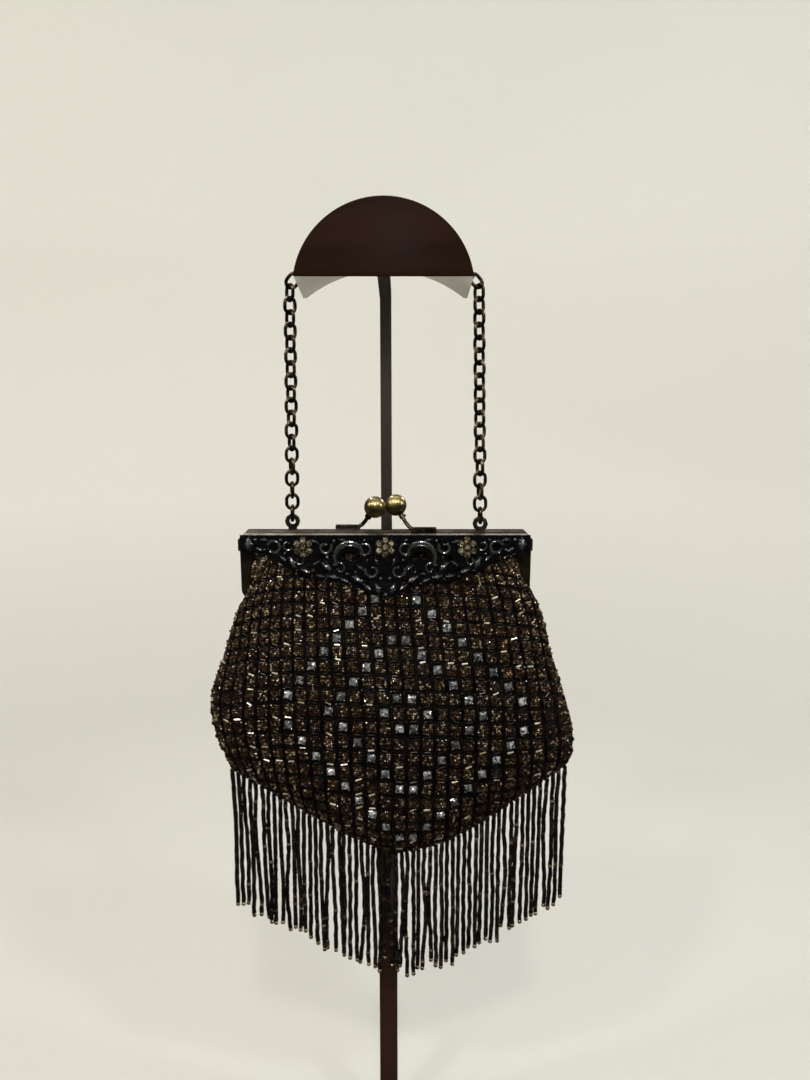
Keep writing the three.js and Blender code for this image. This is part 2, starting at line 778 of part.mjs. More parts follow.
function fringeGeometry() {
  const { strips, stripRadius, stripSides, headingHeight, headingDepth } = fringe;
  const { length, unevenness, unevenStep } = fringe;
  const lowest = bagSections[bagSections.length - 1];
  const over = [];
  for (let c = 0; c <= bag.columns; c += 1) {
    const across = columnAcross(c);
    const x = across * (across < 0 ? lowest.left : lowest.right);
    over.push([x, readTable(hemRows, 'across', across, 'z') - gap]);
  }
  const under = over.map(([x, z]) => [x, z - headingHeight]).reverse();
  const pieces = [upright(polygon([...over, ...under]), headingDepth / 2, headingDepth)];
  const leftEnd = -lowest.left + fringe.endInset;
  const rightEnd = lowest.right - fringe.endInset;
  for (let i = 0; i < strips; i += 1) {
    const x = leftEnd + ((rightEnd - leftEnd) * i) / (strips - 1);
    const top = heightOn(over, x) - headingHeight / 2;
    const hang = length + unevenness * Math.sin(i * unevenStep) - headingHeight / 2;
    const strip = new THREE.CylinderGeometry(stripRadius, stripRadius, hang, stripSides);
    pieces.push(strip.rotateX(Math.PI / 2).translate(x, 0, top - hang / 2));
  }
  return joined(pieces);
}

// Assembly

const standGroup = new THREE.Group();
const basePlate = new THREE.ExtrudeGeometry(
  roundedPlate(stand.baseWidth, stand.baseDepth, stand.baseCorner),
  { depth: stand.baseThick, bevelEnabled: false, curveSegments: stand.cornerSegments },
);
addPart(standGroup, 'stand_base', basePlate, finishes.standPaint);
addPart(standGroup, 'stand_tube', standTube(), finishes.standPaint);
addPart(standGroup, 'stand_bar', standBar(), finishes.standPaint);
addPart(standGroup, 'saddle', saddleGeometry(), finishes.standPaint);

const purseGroup = new THREE.Group();
purseGroup.position.set(0, purse.middleY, purse.railTopZ);
addPart(purseGroup, 'chain', chainGeometry(), finishes.agedBronze);
addPart(purseGroup, 'frame_front', frameHalf(-1, ear.x), finishes.agedBronze);
addPart(purseGroup, 'frame_back', frameHalf(1, -ear.x), finishes.agedBronze);
for (const [name, side] of [['hinge_rivet_left', -1], ['hinge_rivet_right', 1]]) {
  addPart(purseGroup, name, rivetGeometry(), finishes.agedBronze).position.set(side * rivet.x, 0, rivet.z);
}
for (const name of ['left', 'right']) {
  addPart(purseGroup, `clasp_arm_${name}`, claspArm(clasp[name]), finishes.agedBronze);
  const ball = new THREE.SphereGeometry(clasp.ballRadius, clasp.ballSegments, clasp.ballRings);
  addPart(purseGroup, `clasp_ball_${name}`, ball, finishes.agedBrass).position.copy(clasp[name].ball);
}

const frontGroup = new THREE.Group();
frontGroup.position.set(0, -(gap + frame.railDepth + gap), ornament.topZ);
frontGroup.rotation.x = -ornament.tilt;
purseGroup.add(frontGroup);
addPart(frontGroup, 'ornament', ornamentGeometry(), finishes.gunmetal);
for (const [name, place] of [['flower_left', -1], ['flower_centre', 0], ['flower_right', 1]]) {
  const blossom = addPart(frontGroup, name, flowerGeometry(), finishes.crystal);
  blossom.position.set(place * flower.spacing, -ornament.thick - gap, flower.z - ornament.topZ);
}

addPart(purseGroup, 'bag_front', bagPanel(-1), finishes.beadedCloth);
addPart(purseGroup, 'bag_back', bagPanel(1), finishes.beadedCloth);
addPart(purseGroup, 'fringe', fringeGeometry(), finishes.fringeBeads);

const eveningPurse = new THREE.Group();
eveningPurse.add(standGroup, purseGroup);

export default eveningPurse;
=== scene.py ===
import math

import bmesh
import bpy
import numpy as np
from mathutils import Matrix, Vector


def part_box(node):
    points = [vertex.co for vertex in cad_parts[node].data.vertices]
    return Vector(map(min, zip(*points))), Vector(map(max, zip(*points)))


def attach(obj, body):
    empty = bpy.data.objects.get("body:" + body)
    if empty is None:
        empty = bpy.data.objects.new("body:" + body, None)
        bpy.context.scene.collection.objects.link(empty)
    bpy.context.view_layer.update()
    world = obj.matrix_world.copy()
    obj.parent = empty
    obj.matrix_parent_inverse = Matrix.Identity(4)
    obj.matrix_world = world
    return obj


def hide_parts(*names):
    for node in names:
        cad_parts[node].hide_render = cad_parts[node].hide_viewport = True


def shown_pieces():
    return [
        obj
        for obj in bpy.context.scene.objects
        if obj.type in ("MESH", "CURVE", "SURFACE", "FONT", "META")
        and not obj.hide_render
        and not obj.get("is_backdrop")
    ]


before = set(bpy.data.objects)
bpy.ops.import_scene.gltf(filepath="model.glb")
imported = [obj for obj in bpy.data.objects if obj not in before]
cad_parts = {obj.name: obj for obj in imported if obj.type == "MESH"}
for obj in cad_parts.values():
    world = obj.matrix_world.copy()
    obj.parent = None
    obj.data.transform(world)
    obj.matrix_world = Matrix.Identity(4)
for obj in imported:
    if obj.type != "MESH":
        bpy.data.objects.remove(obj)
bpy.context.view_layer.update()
print("frame loaded:", len(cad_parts), "nodes")

mm = 0.001
rng = np.random.default_rng(26)
scene = bpy.context.scene
purse = {"middleY": 20.0, "railTopZ": 398.0}  # mm, the purse's own zero: middle of the rails' top
purseZero = np.array([0.0, purse["middleY"], purse["railTopZ"]])


# Shapes are kept as (points, face arrays) in mm until they become a mesh

def unit(rows):
    return rows / np.linalg.norm(rows, axis=-1, keepdims=True)


def joined(shapes):
    points = []
    faces = []
    count = 0
    for shapePoints, shapeFaces in shapes:
        points.append(np.asarray(shapePoints, float))
        faces += [np.asarray(f) + count for f in shapeFaces]
        count += len(shapePoints)
    return np.concatenate(points), faces


def moved(shape, matrix):
    turn = np.array(matrix.to_3x3())
    return np.asarray(shape[0]) @ turn.T + np.array(matrix.translation), shape[1]


def scattered(shape, places, axes, sizes):
    # one copy of shape at each place; axes holds its local x, y, z as rows, sizes one scale or three
    points, faces = shape
    sizes = np.reshape(sizes, (len(places), 1, -1))
    allPoints = np.einsum("nvi,nij->nvj", points[None, :, :] * sizes, axes) + places[:, None, :]
    steps = (np.arange(len(places)) * len(points))[:, None, None]
    allFaces = [(f[None, :, :] + steps).reshape(-1, f.shape[1]) for f in faces]
    return allPoints.reshape(-1, 3), allFaces


def meshOf(name, shape, smooth=True, sharpAngle=None, tones=None):
    points, faces = shape
    sizes = np.concatenate([np.full(len(f), f.shape[1]) for f in faces])
    corners = np.concatenate([f.ravel() for f in faces]).astype(np.int32)
    starts = np.concatenate([[0], np.cumsum(sizes)[:-1]]).astype(np.int32)
    mesh = bpy.data.meshes.new(name)
    mesh.vertices.add(len(points))
    mesh.vertices.foreach_set("co", (np.asarray(points) * mm).astype(np.float32).ravel())
    mesh.loops.add(len(corners))
    mesh.loops.foreach_set("vertex_index", corners)
    mesh.polygons.add(len(sizes))
    mesh.polygons.foreach_set("loop_start", starts)
    mesh.update(calc_edges=True)
    mesh.polygons.foreach_set("use_smooth", np.full(len(sizes), smooth))
    if tones is not None:
        layer = mesh.attributes.new("tone", "FLOAT", "POINT")
        layer.data.foreach_set("value", np.asarray(tones, np.float32))
    if sharpAngle is not None:
        mesh.set_sharp_from_angle(angle=math.radians(sharpAngle))
    return mesh


def addPiece(name, mesh, materials, nodes=()):
    piece = bpy.data.objects.new(name, mesh)
    scene.collection.objects.link(piece)
    for material in materials:
        mesh.materials.append(material)
    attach(piece, "root")
    if nodes:
        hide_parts(*nodes)
    return piece


def addCopies(name, shape, spots, tones, material, nodes=(), smooth=False, sharpAngle=None):
    # spots are the copies' places, axes and sizes; tones has one value a copy
    if tones is not None:
        tones = np.repeat(tones, len(shape[0]))
    mesh = meshOf(name, scattered(shape, *spots), smooth, sharpAngle, tones)
    return addPiece(name, mesh, [material], nodes)


def circle(sides):
    angles = 2 * math.pi * np.arange(sides) / sides
    return np.cos(angles), np.sin(angles)


def tubeFaces(sides, count, closed=False):
    # quads from ring to ring; an open run also gets a cap at each end
    here = np.arange(sides)
    after = (here + 1) % sides
    low = sides * np.arange(count if closed else count - 1)[:, None]
    high = (low + sides) % (sides * count)
    quads = np.stack([low + here, low + after, high + after, high + here], axis=-1).reshape(-1, 4)
    caps = np.array([here[::-1], here + sides * (count - 1)])
    return [quads] if closed else [quads, caps]


def gridFaces(rows, columns):
    # quads of a grid of points, and the points around its rim
    index = np.arange(rows * columns).reshape(rows, columns)
    quads = np.stack([index[:-1, :-1], index[1:, :-1], index[1:, 1:], index[:-1, 1:]], axis=-1).reshape(-1, 4)
    rim = np.concatenate([index[0, :-1], index[:-1, -1], index[-1, :0:-1], index[:0:-1, 0]])
    return quads, rim


def barrel(sides, profile):
    # closed round along local z, from (height, radius) rows
    x, y = circle(sides)
    rings = [np.column_stack([r * x, r * y, np.full(sides, h)]) for h, r in profile]
    return np.concatenate(rings), tubeFaces(sides, len(profile))


def sweep(path, radii, sides, up, closed=False):
    # a round rod along a path, with one radius or one a point; closed makes a loop of it
    path = np.asarray(path, float)
    ahead = np.roll(path, -1, axis=0) - np.roll(path, 1, axis=0) if closed else np.gradient(path, axis=0)
    along = unit(ahead)
    side = unit(np.cross(along, up))
    rise = np.cross(side, along)
    x, y = circle(sides)
    ring = x[None, :, None] * side[:, None, :] + y[None, :, None] * rise[:, None, :]
    points = path[:, None, :] + np.reshape(radii, (-1, 1, 1)) * ring
    return points.reshape(-1, 3), [f[:, ::-1] for f in tubeFaces(sides, len(path), closed)]


def cleanForm(mesh):
    # a solid's mesh with its flat faces whole again
    bm = bmesh.new()
    bm.from_mesh(mesh)
    bmesh.ops.remove_doubles(bm, verts=bm.verts, dist=1e-6)
    bmesh.ops.dissolve_limit(bm, angle_limit=math.radians(1.0), verts=bm.verts, edges=bm.edges)
    return bm


def fromBmesh(bm):
    bm.verts.index_update()
    points = np.array([v.co for v in bm.verts])
    bySize = {}
    for face in bm.faces:
        bySize.setdefault(len(face.verts), []).append([v.index for v in face.verts])
    bm.free()
    return points, [np.array(f) for f in bySize.values()]


def cutBall(subdivisions=1):
    bm = bmesh.new()
    bmesh.ops.create_icosphere(bm, subdivisions=subdivisions, radius=1.0)
    return fromBmesh(bm)


def ball(segments=10, rings=7):
    bm = bmesh.new()
    bmesh.ops.create_uvsphere(bm, u_segments=segments, v_segments=rings, radius=1.0)
    return fromBmesh(bm)


def turnedRandomly(count):
    return np.linalg.qr(rng.normal(size=(count, 3, 3)))[0]


def axesAlong(along, flank):
    return np.stack([flank, np.cross(along, flank), along], axis=1)  # local z runs along


def arcLengths(line):
    return np.concatenate([[0], np.cumsum(np.linalg.norm(np.diff(line, axis=0), axis=1))])


def pointsAt(at, lengths, line):
    return np.stack([np.interp(at, lengths, column) for column in line.T], axis=-1)


# Materials: each helper adds one node and returns its output

grainDepth = 0.0002  # m


def newMaterial(name):
    material = bpy.data.materials.new(name)
    material.use_nodes = True
    return material, material.node_tree


def setInputs(tree, node, values):
    # a socket is linked, anything else is set as it is
    for name, value in values.items():
        if isinstance(value, bpy.types.NodeSocket):
            tree.links.new(value, node.inputs[name])
        else:
            node.inputs[name].default_value = value


def addNode(tree, kind, output, values):
    node = tree.nodes.new("ShaderNode" + kind)
    setInputs(tree, node, values)
    return node.outputs[output]


def placeNode(tree, stretch=(1, 1, 1)):
    coords = addNode(tree, "TexCoord", "Object", {})
    return addNode(tree, "Mapping", "Vector", {"Vector": coords, "Scale": stretch})


def heightNode(tree, where):
    return addNode(tree, "SeparateXYZ", "Z", {"Vector": where})


def noiseNode(tree, where, scale, detail=4.0, roughness=0.55):
    return addNode(tree, "TexNoise", "Fac", {
        "Vector": where, "Scale": scale, "Detail": detail, "Roughness": roughness})


def rangeNode(tree, value, low, high, fromLow=0.3, fromHigh=0.7):
    return addNode(tree, "MapRange", "Result", {
        "Value": value, "From Min": fromLow, "From Max": fromHigh, "To Min": low, "To Max": high})


def bumpNode(tree, height, strength, distance):
    return addNode(tree, "Bump", "Normal", {"Height": height, "Strength": strength, "Distance": distance})


def toneNode(tree):
    tone = tree.nodes.new("ShaderNodeAttribute")
    tone.attribute_name = "tone"
    return tone.outputs["Fac"]


def rampNode(tree, factor, stops):
    ramp = tree.nodes.new("ShaderNodeValToRGB")
    elements = ramp.color_ramp.elements
    while len(elements) < len(stops):
        elements.new(0.5)
    for element, (at, colour) in zip(elements, stops):
        element.position = at
        element.color = (*colour, 1.0)
    setInputs(tree, ramp, {"Fac": factor})
    return ramp.outputs["Color"]


def mixNode(tree, way, first, second):
    mix = tree.nodes.new("ShaderNodeMix")
    mix.data_type = "RGBA"
    mix.blend_type = way
    setInputs(tree, mix, {0: 1.0, 6: first, 7: second})  # the factor and the two colours
    return mix.outputs[2]


def patinaMetal(name, look):
    # worn plated metal: colour, gloss and grain all wander together
    material, tree = newMaterial(name)
    where = placeNode(tree, look.get("stretch", (1, 1, 1)))
    cloudy = noiseNode(tree, where, look["patch"], detail=5.0, roughness=0.6)
    grain = noiseNode(tree, where, look["grain"], detail=3.0, roughness=0.6)
    colour = rampNode(tree, cloudy, look["colours"])
    if "paintedSheen" in look:  # painted sheen: paler higher up, standing in for the satin paint's reflection of a bright room
        height = heightNode(tree, placeNode(tree))
        colour = mixNode(tree, "ADD", colour, rampNode(tree, height, look["paintedSheen"]))
    setInputs(tree, tree.nodes["Principled BSDF"], {
        "Base Color": colour, "Roughness": rangeNode(tree, cloudy, *look["rough"]),
        "Normal": bumpNode(tree, grain, look["bump"], grainDepth),
        "Metallic": look["metallic"], "Specular IOR Level": look.get("specular", 0.5)})
    return material


def beadGlass(name, look):
    # each bead has its own tone, which picks its colour; a fine ripple breaks up the gloss
    material, tree = newMaterial(name)
    where = placeNode(tree)
    ripple = noiseNode(tree, where, look["ripple"], detail=2.0)
    colour = rampNode(tree, toneNode(tree), look["colours"])
    if "patches" in look:  # the lots of beads differ in hue from patch to patch
        cloudy = noiseNode(tree, where, look["patch"], detail=2.0)
        colour = mixNode(tree, "MULTIPLY", colour, rampNode(tree, cloudy, look["patches"]))
    setInputs(tree, tree.nodes["Principled BSDF"], {
        "Base Color": colour, "Roughness": rangeNode(tree, ripple, *look["rough"]),
        "Normal": bumpNode(tree, ripple, look["bump"], grainDepth), "Metallic": look["metallic"],
        "Coat Weight": look["coat"], "Coat Roughness": look.get("coatRough", 0.06)})
    return material


standPaint = patinaMetal("standPaint", {
    "patch": 22.0, "grain": 260.0, "stretch": (0.35, 1.0, 2.6), "bump": 0.12, "metallic": 0.0,
    "colours": [(0.3, (0.0090, 0.0036, 0.0022)), (0.7, (0.0190, 0.0078, 0.0048))], "rough": (0.30, 0.44),
    "specular": 0.015})
# painted sheen: higher up the tube the colour is painted paler
postPaint = patinaMetal("postPaint", {
    "patch": 26.0, "grain": 300.0, "stretch": (1.0, 1.0, 0.4), "bump": 0.1, "metallic": 0.0,
    "colours": [(0.3, (0.0200, 0.0084, 0.0050)), (0.7, (0.0360, 0.0154, 0.0096))], "rough": (0.28, 0.42),
    "specular": 0.3, "paintedSheen": [(0.145, (0.0, 0.0, 0.0)), (0.215, (0.10, 0.092, 0.088))]})
barPaint = patinaMetal("barPaint", {
    "patch": 26.0, "grain": 300.0, "stretch": (1.0, 1.0, 0.4), "bump": 0.1, "metallic": 0.0,
    "colours": [(0.3, (0.026, 0.021, 0.017)), (0.7, (0.046, 0.038, 0.032))], "rough": (0.28, 0.42),
    "specular": 0.3})
paleSheet = patinaMetal("paleSheet", {
    "patch": 30.0, "grain": 300.0, "bump": 0.08, "metallic": 0.1,
    "colours": [(0.3, (0.56, 0.55, 0.49)), (0.7, (0.71, 0.70, 0.63))], "rough": (0.4, 0.55)})
# painted highlight: a brighter copy of the aged bronze for the rails' upward rounds
railPaintedHighlight = patinaMetal("railPaintedHighlight", {
    "patch": 140.0, "grain": 1400.0, "bump": 0.12, "metallic": 0.9,
    "colours": [(0.3, (0.11, 0.097, 0.073)), (0.6, (0.22, 0.200, 0.155)), (0.8, (0.36, 0.33, 0.26))],
    "rough": (0.24, 0.38)})
armBlack = patinaMetal("armBlack", {
    "patch": 120.0, "grain": 900.0, "bump": 0.12, "metallic": 0.5,
    "colours": [(0.3, (0.010, 0.007, 0.004)), (0.7, (0.028, 0.020, 0.012))], "rough": (0.28, 0.42),
    "specular": 0.3})
agedBronze = patinaMetal("agedBronze", {
    "patch": 160.0, "grain": 1400.0, "bump": 0.1, "metallic": 0.95,
    "colours": [(0.3, (0.050, 0.040, 0.027)), (0.55, (0.115, 0.094, 0.063)), (0.8, (0.27, 0.225, 0.155))],
    "rough": (0.28, 0.45)})
chainBronze = patinaMetal("chainBronze", {
    "patch": 240.0, "grain": 1600.0, "bump": 0.12, "metallic": 0.95,
    "colours": [(0.3, (0.026, 0.020, 0.014)), (0.55, (0.075, 0.058, 0.038)), (0.8, (0.36, 0.28, 0.17))],
    "rough": (0.20, 0.36)})
agedBrass = patinaMetal("agedBrass", {
    "patch": 170.0, "grain": 1500.0, "bump": 0.06, "metallic": 1.0,
    "colours": [(0.25, (0.17, 0.130, 0.055)), (0.5, (0.40, 0.320, 0.145)), (0.8, (0.58, 0.49, 0.26))],
    "rough": (0.24, 0.40)})
clawGold = patinaMetal("clawGold", {
    "patch": 500.0, "grain": 1800.0, "bump": 0.1, "metallic": 1.0,
    "colours": [(0.3, (0.19, 0.140, 0.075)), (0.7, (0.58, 0.45, 0.26))], "rough": (0.20, 0.36)})
stoneSilver = patinaMetal("stoneSilver", {
    "patch": 700.0, "grain": 1800.0, "bump": 0.1, "metallic": 1.0,
    "colours": [(0.3, (0.30, 0.29, 0.28)), (0.7, (0.75, 0.74, 0.72))], "rough": (0.12, 0.25)})

blackCasting = beadGlass("blackCasting", {
    "ripple": 480.0, "rough": (0.14, 0.32), "bump": 0.8, "metallic": 0.85, "coat": 0.3,
    "colours": [(0.0, (0.014, 0.014, 0.017)), (0.40, (0.040, 0.038, 0.040)), (0.75, (0.17, 0.16, 0.148)),
                (1.0, (0.62, 0.58, 0.50))]})
seedBronze = beadGlass("seedBronze", {
    "ripple": 900.0, "rough": (0.20, 0.40), "bump": 0.25, "metallic": 0.75, "coat": 0.3, "coatRough": 0.1,
    "colours": [(0.0, (0.006, 0.004, 0.0025)), (0.45, (0.064, 0.037, 0.019)), (0.8, (0.185, 0.112, 0.056)),
                (1.0, (0.62, 0.50, 0.34))],
    "patch": 75.0,
    "patches": [(0.36, (1.04, 0.87, 0.74)), (0.5, (0.94, 0.95, 0.96)), (0.64, (0.97, 0.97, 0.80))]})
bugleDark = beadGlass("bugleDark", {
    "ripple": 700.0, "rough": (0.10, 0.22), "bump": 0.15, "metallic": 0.3, "coat": 0.1,
    "colours": [(0.0, (0.0015, 0.001, 0.001)), (1.0, (0.012, 0.008, 0.006))]})
# the upper stops are painted bright gold to white: partly the beads' lining, partly painted glints
bugleBright = beadGlass("bugleBright", {
    "ripple": 700.0, "rough": (0.15, 0.30), "bump": 0.15, "metallic": 0.7, "coat": 0.5,
    "colours": [(0.0, (0.006, 0.004, 0.003)), (0.5, (0.036, 0.025, 0.015)), (0.7, (0.62, 0.48, 0.26)),
                (1.0, (1.0, 0.95, 0.82))]})
fringeGlass = beadGlass("fringeGlass", {
    "ripple": 800.0, "rough": (0.1, 0.28), "bump": 0.2, "metallic": 0.4, "coat": 0.4,
    "colours": [(0.0, (0.003, 0.002, 0.002)), (0.55, (0.010, 0.0065, 0.005)), (0.8, (0.05, 0.033, 0.022)),
                (1.0, (0.26, 0.195, 0.135))]})

# painted glints: these stops set how bright each facet and each stone is painted
crystalLook = {"facets": 850.0, "facetShare": 0.75, "bump": 0.35, "bumpDepth": 0.0003,
               "lights": ((0.15, 0.015), (0.45, 0.07), (0.65, 0.22), (0.85, 0.62), (1.0, 1.0)),
               "shader": {"Metallic": 0.55, "Roughness": 0.06, "Coat Weight": 1.0, "Coat Roughness": 0.02,
                          "IOR": 1.7}}


def crystalMaterial(name, tint):
    # foil-backed stone under a clear gloss: painted glints, with facets painted bright and dark and some
    # stones painted brighter than others, as if catching more light
    material, tree = newMaterial(name)
    facets = tree.nodes.new("ShaderNodeTexVoronoi")
    setInputs(tree, facets, {"Vector": placeNode(tree), "Scale": crystalLook["facets"]})
    light = tree.nodes.new("ShaderNodeMath")
    light.operation = "MULTIPLY_ADD"
    setInputs(tree, light, {0: facets.outputs["Color"], 1: crystalLook["facetShare"], 2: toneNode(tree)})
    stops = [(at, tuple(c * share for c in tint)) for at, share in crystalLook["lights"]]
    setInputs(tree, tree.nodes["Principled BSDF"], {
        "Base Color": rampNode(tree, light.outputs["Value"], stops),
        "Normal": bumpNode(tree, facets.outputs["Distance"], crystalLook["bump"], crystalLook["bumpDepth"]),
        **crystalLook["shader"]})
    return material


clothLook = {"weave": 900.0, "waver": 1.5, "patch": 90.0, "bump": 0.4, "bumpDepth": 0.0003,
             "colours": [(0.3, (0.001, 0.0008, 0.0007)), (0.7, (0.004, 0.0028, 0.0023))],
             "shader": {"Roughness": 0.6, "Specular IOR Level": 0.2, "Sheen Weight": 0.03}}


def clothMaterial(name):
    # dark satin ground with a fine weave
    material, tree = newMaterial(name)
    where = placeNode(tree)
    weave = addNode(tree, "TexWave", "Fac", {
        "Vector": where, "Scale": clothLook["weave"], "Distortion": clothLook["waver"]})
    setInputs(tree, tree.nodes["Principled BSDF"], {
        "Base Color": rampNode(tree, noiseNode(tree, where, clothLook["patch"]), clothLook["colours"]),
        "Normal": bumpNode(tree, weave, clothLook["bump"], clothLook["bumpDepth"]), **clothLook["shader"]})
    return material


crystal = crystalMaterial("crystal", (1.0, 0.98, 0.985))
champagneStone = crystalMaterial("champagneStone", (1.0, 0.90, 0.74))
satinGround = clothMaterial("satinGround")
print("materials ready")


# Camera, light and stage

camera = {"place": (10.3, -403.0, 475.0), "pitch": 11.0, "focal": 811.0, "longSide": 1080.0, "sensor": 36.0,
          "nearest": 20.0}
eye = bpy.data.cameras.new("camera")
eye.sensor_width = camera["sensor"]
eye.lens = camera["focal"] / camera["longSide"] * camera["sensor"]
eye.clip_start = camera["nearest"] * mm
eyePiece = bpy.data.objects.new("camera", eye)
eyePiece.location = Vector(camera["place"]) * mm
eyePiece.rotation_euler = (math.radians(90.0 - camera["pitch"]), 0.0, 0.0)
scene.collection.objects.link(eyePiece)
scene.camera = eyePiece

# a round cove, floor and wall in one, so that every side has the same plain ground; sizes in m
cove = {"middle": 0.02, "floor": 0.75, "bend": 0.65, "height": 2.6, "sides": 96, "bendSteps": 16,
        "paintedShadeByHeight": [(0.0, (0.575, 0.567, 0.537)), (0.25, (0.71, 0.702, 0.664)), (0.8, (0.79, 0.785, 0.747))],
        "plaster": 160.0, "bump": 0.08, "bumpDepth": 0.001, "rough": 0.8}


def makeCove():
    profile = [(0.0, cove["middle"]), (0.0, cove["floor"] / 2), (0.0, cove["floor"])]
    for a in np.linspace(0, math.pi / 2, cove["bendSteps"] + 1)[1:]:
        profile.append((cove["bend"] * (1 - math.cos(a)), cove["floor"] + cove["bend"] * math.sin(a)))
    profile.append((cove["height"], cove["floor"] + cove["bend"]))
    points, (quads, caps) = barrel(cove["sides"], profile)
    material, tree = newMaterial("palePaint")
    where = placeNode(tree)
    plaster = noiseNode(tree, where, cove["plaster"])
    # painted shade: the colour runs from darker on the floor to lighter up the wall
    setInputs(tree, tree.nodes["Principled BSDF"], {
        "Base Color": rampNode(tree, heightNode(tree, where), cove["paintedShadeByHeight"]),
        "Normal": bumpNode(tree, plaster, cove["bump"], cove["bumpDepth"]), "Roughness": cove["rough"]})
    inside = (points / mm, [quads[:, ::-1], caps[:1, ::-1]])
    piece = bpy.data.objects.new("cove", meshOf("cove", inside))
    piece.data.materials.append(material)
    piece.visible_glossy = False  # metal and glass mirror the dimmer room and the lamps instead
    scene.collection.objects.link(piece)
    piece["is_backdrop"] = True


def addLight(name, place, aim, size, power, colour):
    light = bpy.data.lights.new(name, "AREA")
    light.shape = "DISK"
    light.size = size
    light.energy = power
    light.color = colour
    piece = bpy.data.objects.new(name, light)
    piece.location = place
    piece.rotation_euler = (Vector(aim) - Vector(place)).to_track_quat("-Z", "Y").to_euler()
    scene.collection.objects.link(piece)


makeCove()
toPurse = (0.0, 0.0, 0.33)
# name, place, aim, size, power, colour
lights = [
    ("keyLeft", (-0.55, -0.75, 1.35), toPurse, 0.12, 3.6, (1.0, 0.955, 0.85)),
    ("keyRight", (0.62, -0.62, 1.30), toPurse, 0.12, 3.0, (0.97, 0.985, 1.0)),
    ("lampLeft", (-0.85, -0.25, 0.95), toPurse, 0.08, 2.0, (1.0, 0.97, 0.90)),
    ("lampRight", (0.90, -0.20, 0.80), toPurse, 0.08, 1.8, (0.97, 0.985, 1.0)),
    ("lampFront", (0.03, -0.80, 1.20), toPurse, 0.12, 4.4, (1.0, 0.98, 0.94)),
    ("lampBack", (-0.45, 0.80, 1.20), toPurse, 0.12, 2.6, (1.0, 0.98, 0.94)),
    ("lampRear", (0.60, 0.75, 0.90), toPurse, 0.10, 1.8, (1.0, 0.98, 0.94)),
    ("overhead", (0.0, 0.15, 1.75), toPurse, 0.70, 3.0, (1.0, 0.985, 0.95)),
    ("wallLeft", (-0.35, 0.35, 1.85), (-0.55, 1.3, 1.0), 0.5, 2.0, (1.0, 0.955, 0.80)),
    ("wallRight", (0.35, 0.35, 1.85), (0.55, 1.3, 1.0), 0.5, 1.9, (0.92, 0.975, 1.0)),
]
for lightRow in lights:
    addLight(*lightRow)

# a dim room above the lamps, darker towards the floor
room = [(0.30, (0.008, 0.0075, 0.007)), (0.50, (0.035, 0.034, 0.031)), (0.70, (0.09, 0.088, 0.083)),
        (0.95, (0.45, 0.44, 0.42))]
world = bpy.data.worlds.new("soft")
world.use_nodes = True
sky = world.node_tree
skyHeight = heightNode(sky, addNode(sky, "TexCoord", "Generated", {}))
skyColour = rampNode(sky, rangeNode(sky, skyHeight, 0.0, 1.0, -1.0, 1.0), room)
setInputs(sky, sky.nodes["Background"], {"Color": skyColour, "Strength": 1.0})
scene.world = world
scene.view_settings.view_transform = "Standard"
print("camera, cove and lights ready")


# Stand and plain metal: the CAD forms with softened edges

softEdge = {"profile": 0.6, "sharpAngle": 38.0, "steps": 2, "fineSteps": 3, "minAngle": 24.0}


def bevelled(bm, edges, width, segments, profile):
    bmesh.ops.bevel(bm, geom=edges, offset=width * mm, segments=segments, profile=profile, affect="EDGES",
                    clamp_overlap=True)


def softened(name, node, width, material, segments=softEdge["steps"], minAngle=softEdge["minAngle"],
             source=None):
    bm = cleanForm(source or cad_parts[node].data)
    least = math.radians(minAngle)
    crisp = [e for e in bm.edges if len(e.link_faces) == 2 and e.calc_face_angle(0.0) > least]
    bevelled(bm, crisp, width, segments, softEdge["profile"])
    bmesh.ops.recalc_face_normals(bm, faces=bm.faces)
    mesh = bpy.data.meshes.new(name)
    bm.to_mesh(mesh)
    bm.free()
    mesh.polygons.foreach_set("use_smooth", np.full(len(mesh.polygons), True))
    mesh.set_sharp_from_angle(angle=math.radians(softEdge["sharpAngle"]))
    return addPiece(name, mesh, [material], (node,))


# piece, node, width of the rounded edge in mm, finish
standRows = [("standBase", "stand_base", 0.8, postPaint), ("standTube", "stand_tube", 0.7, postPaint),
             ("standBar", "stand_bar", 0.5, barPaint)]
for pieceName, node, edge, finish in standRows:
    softened(pieceName, node, edge, finish, softEdge["fineSteps"])

# the saddle: an upright plate with a curved sheet behind it, both on true arcs
saddle = {"chordZ": 525.0, "halfChord": 43.2, "plateRise": 37.8, "sheetRise": 16.4, "sheetLength": 40.0,
          "thick": 2.0, "tilt": 9.7, "steps": 60, "edge": 0.35, "minAngle": 30.0, "paleBehind": 3.0,
          "paleBelow": -0.25}


def arcRadius(half, rise):
    return (half * half + rise * rise) / (2 * rise)


def arcLine(half, rise, y):
    radius = arcRadius(half, rise)
    angles = np.linspace(-1, 1, saddle["steps"] + 1) * math.atan2(half, radius - rise)
    return np.column_stack([radius * np.sin(angles), np.full(len(angles), y),
                            radius * np.cos(angles) - (radius - rise)])


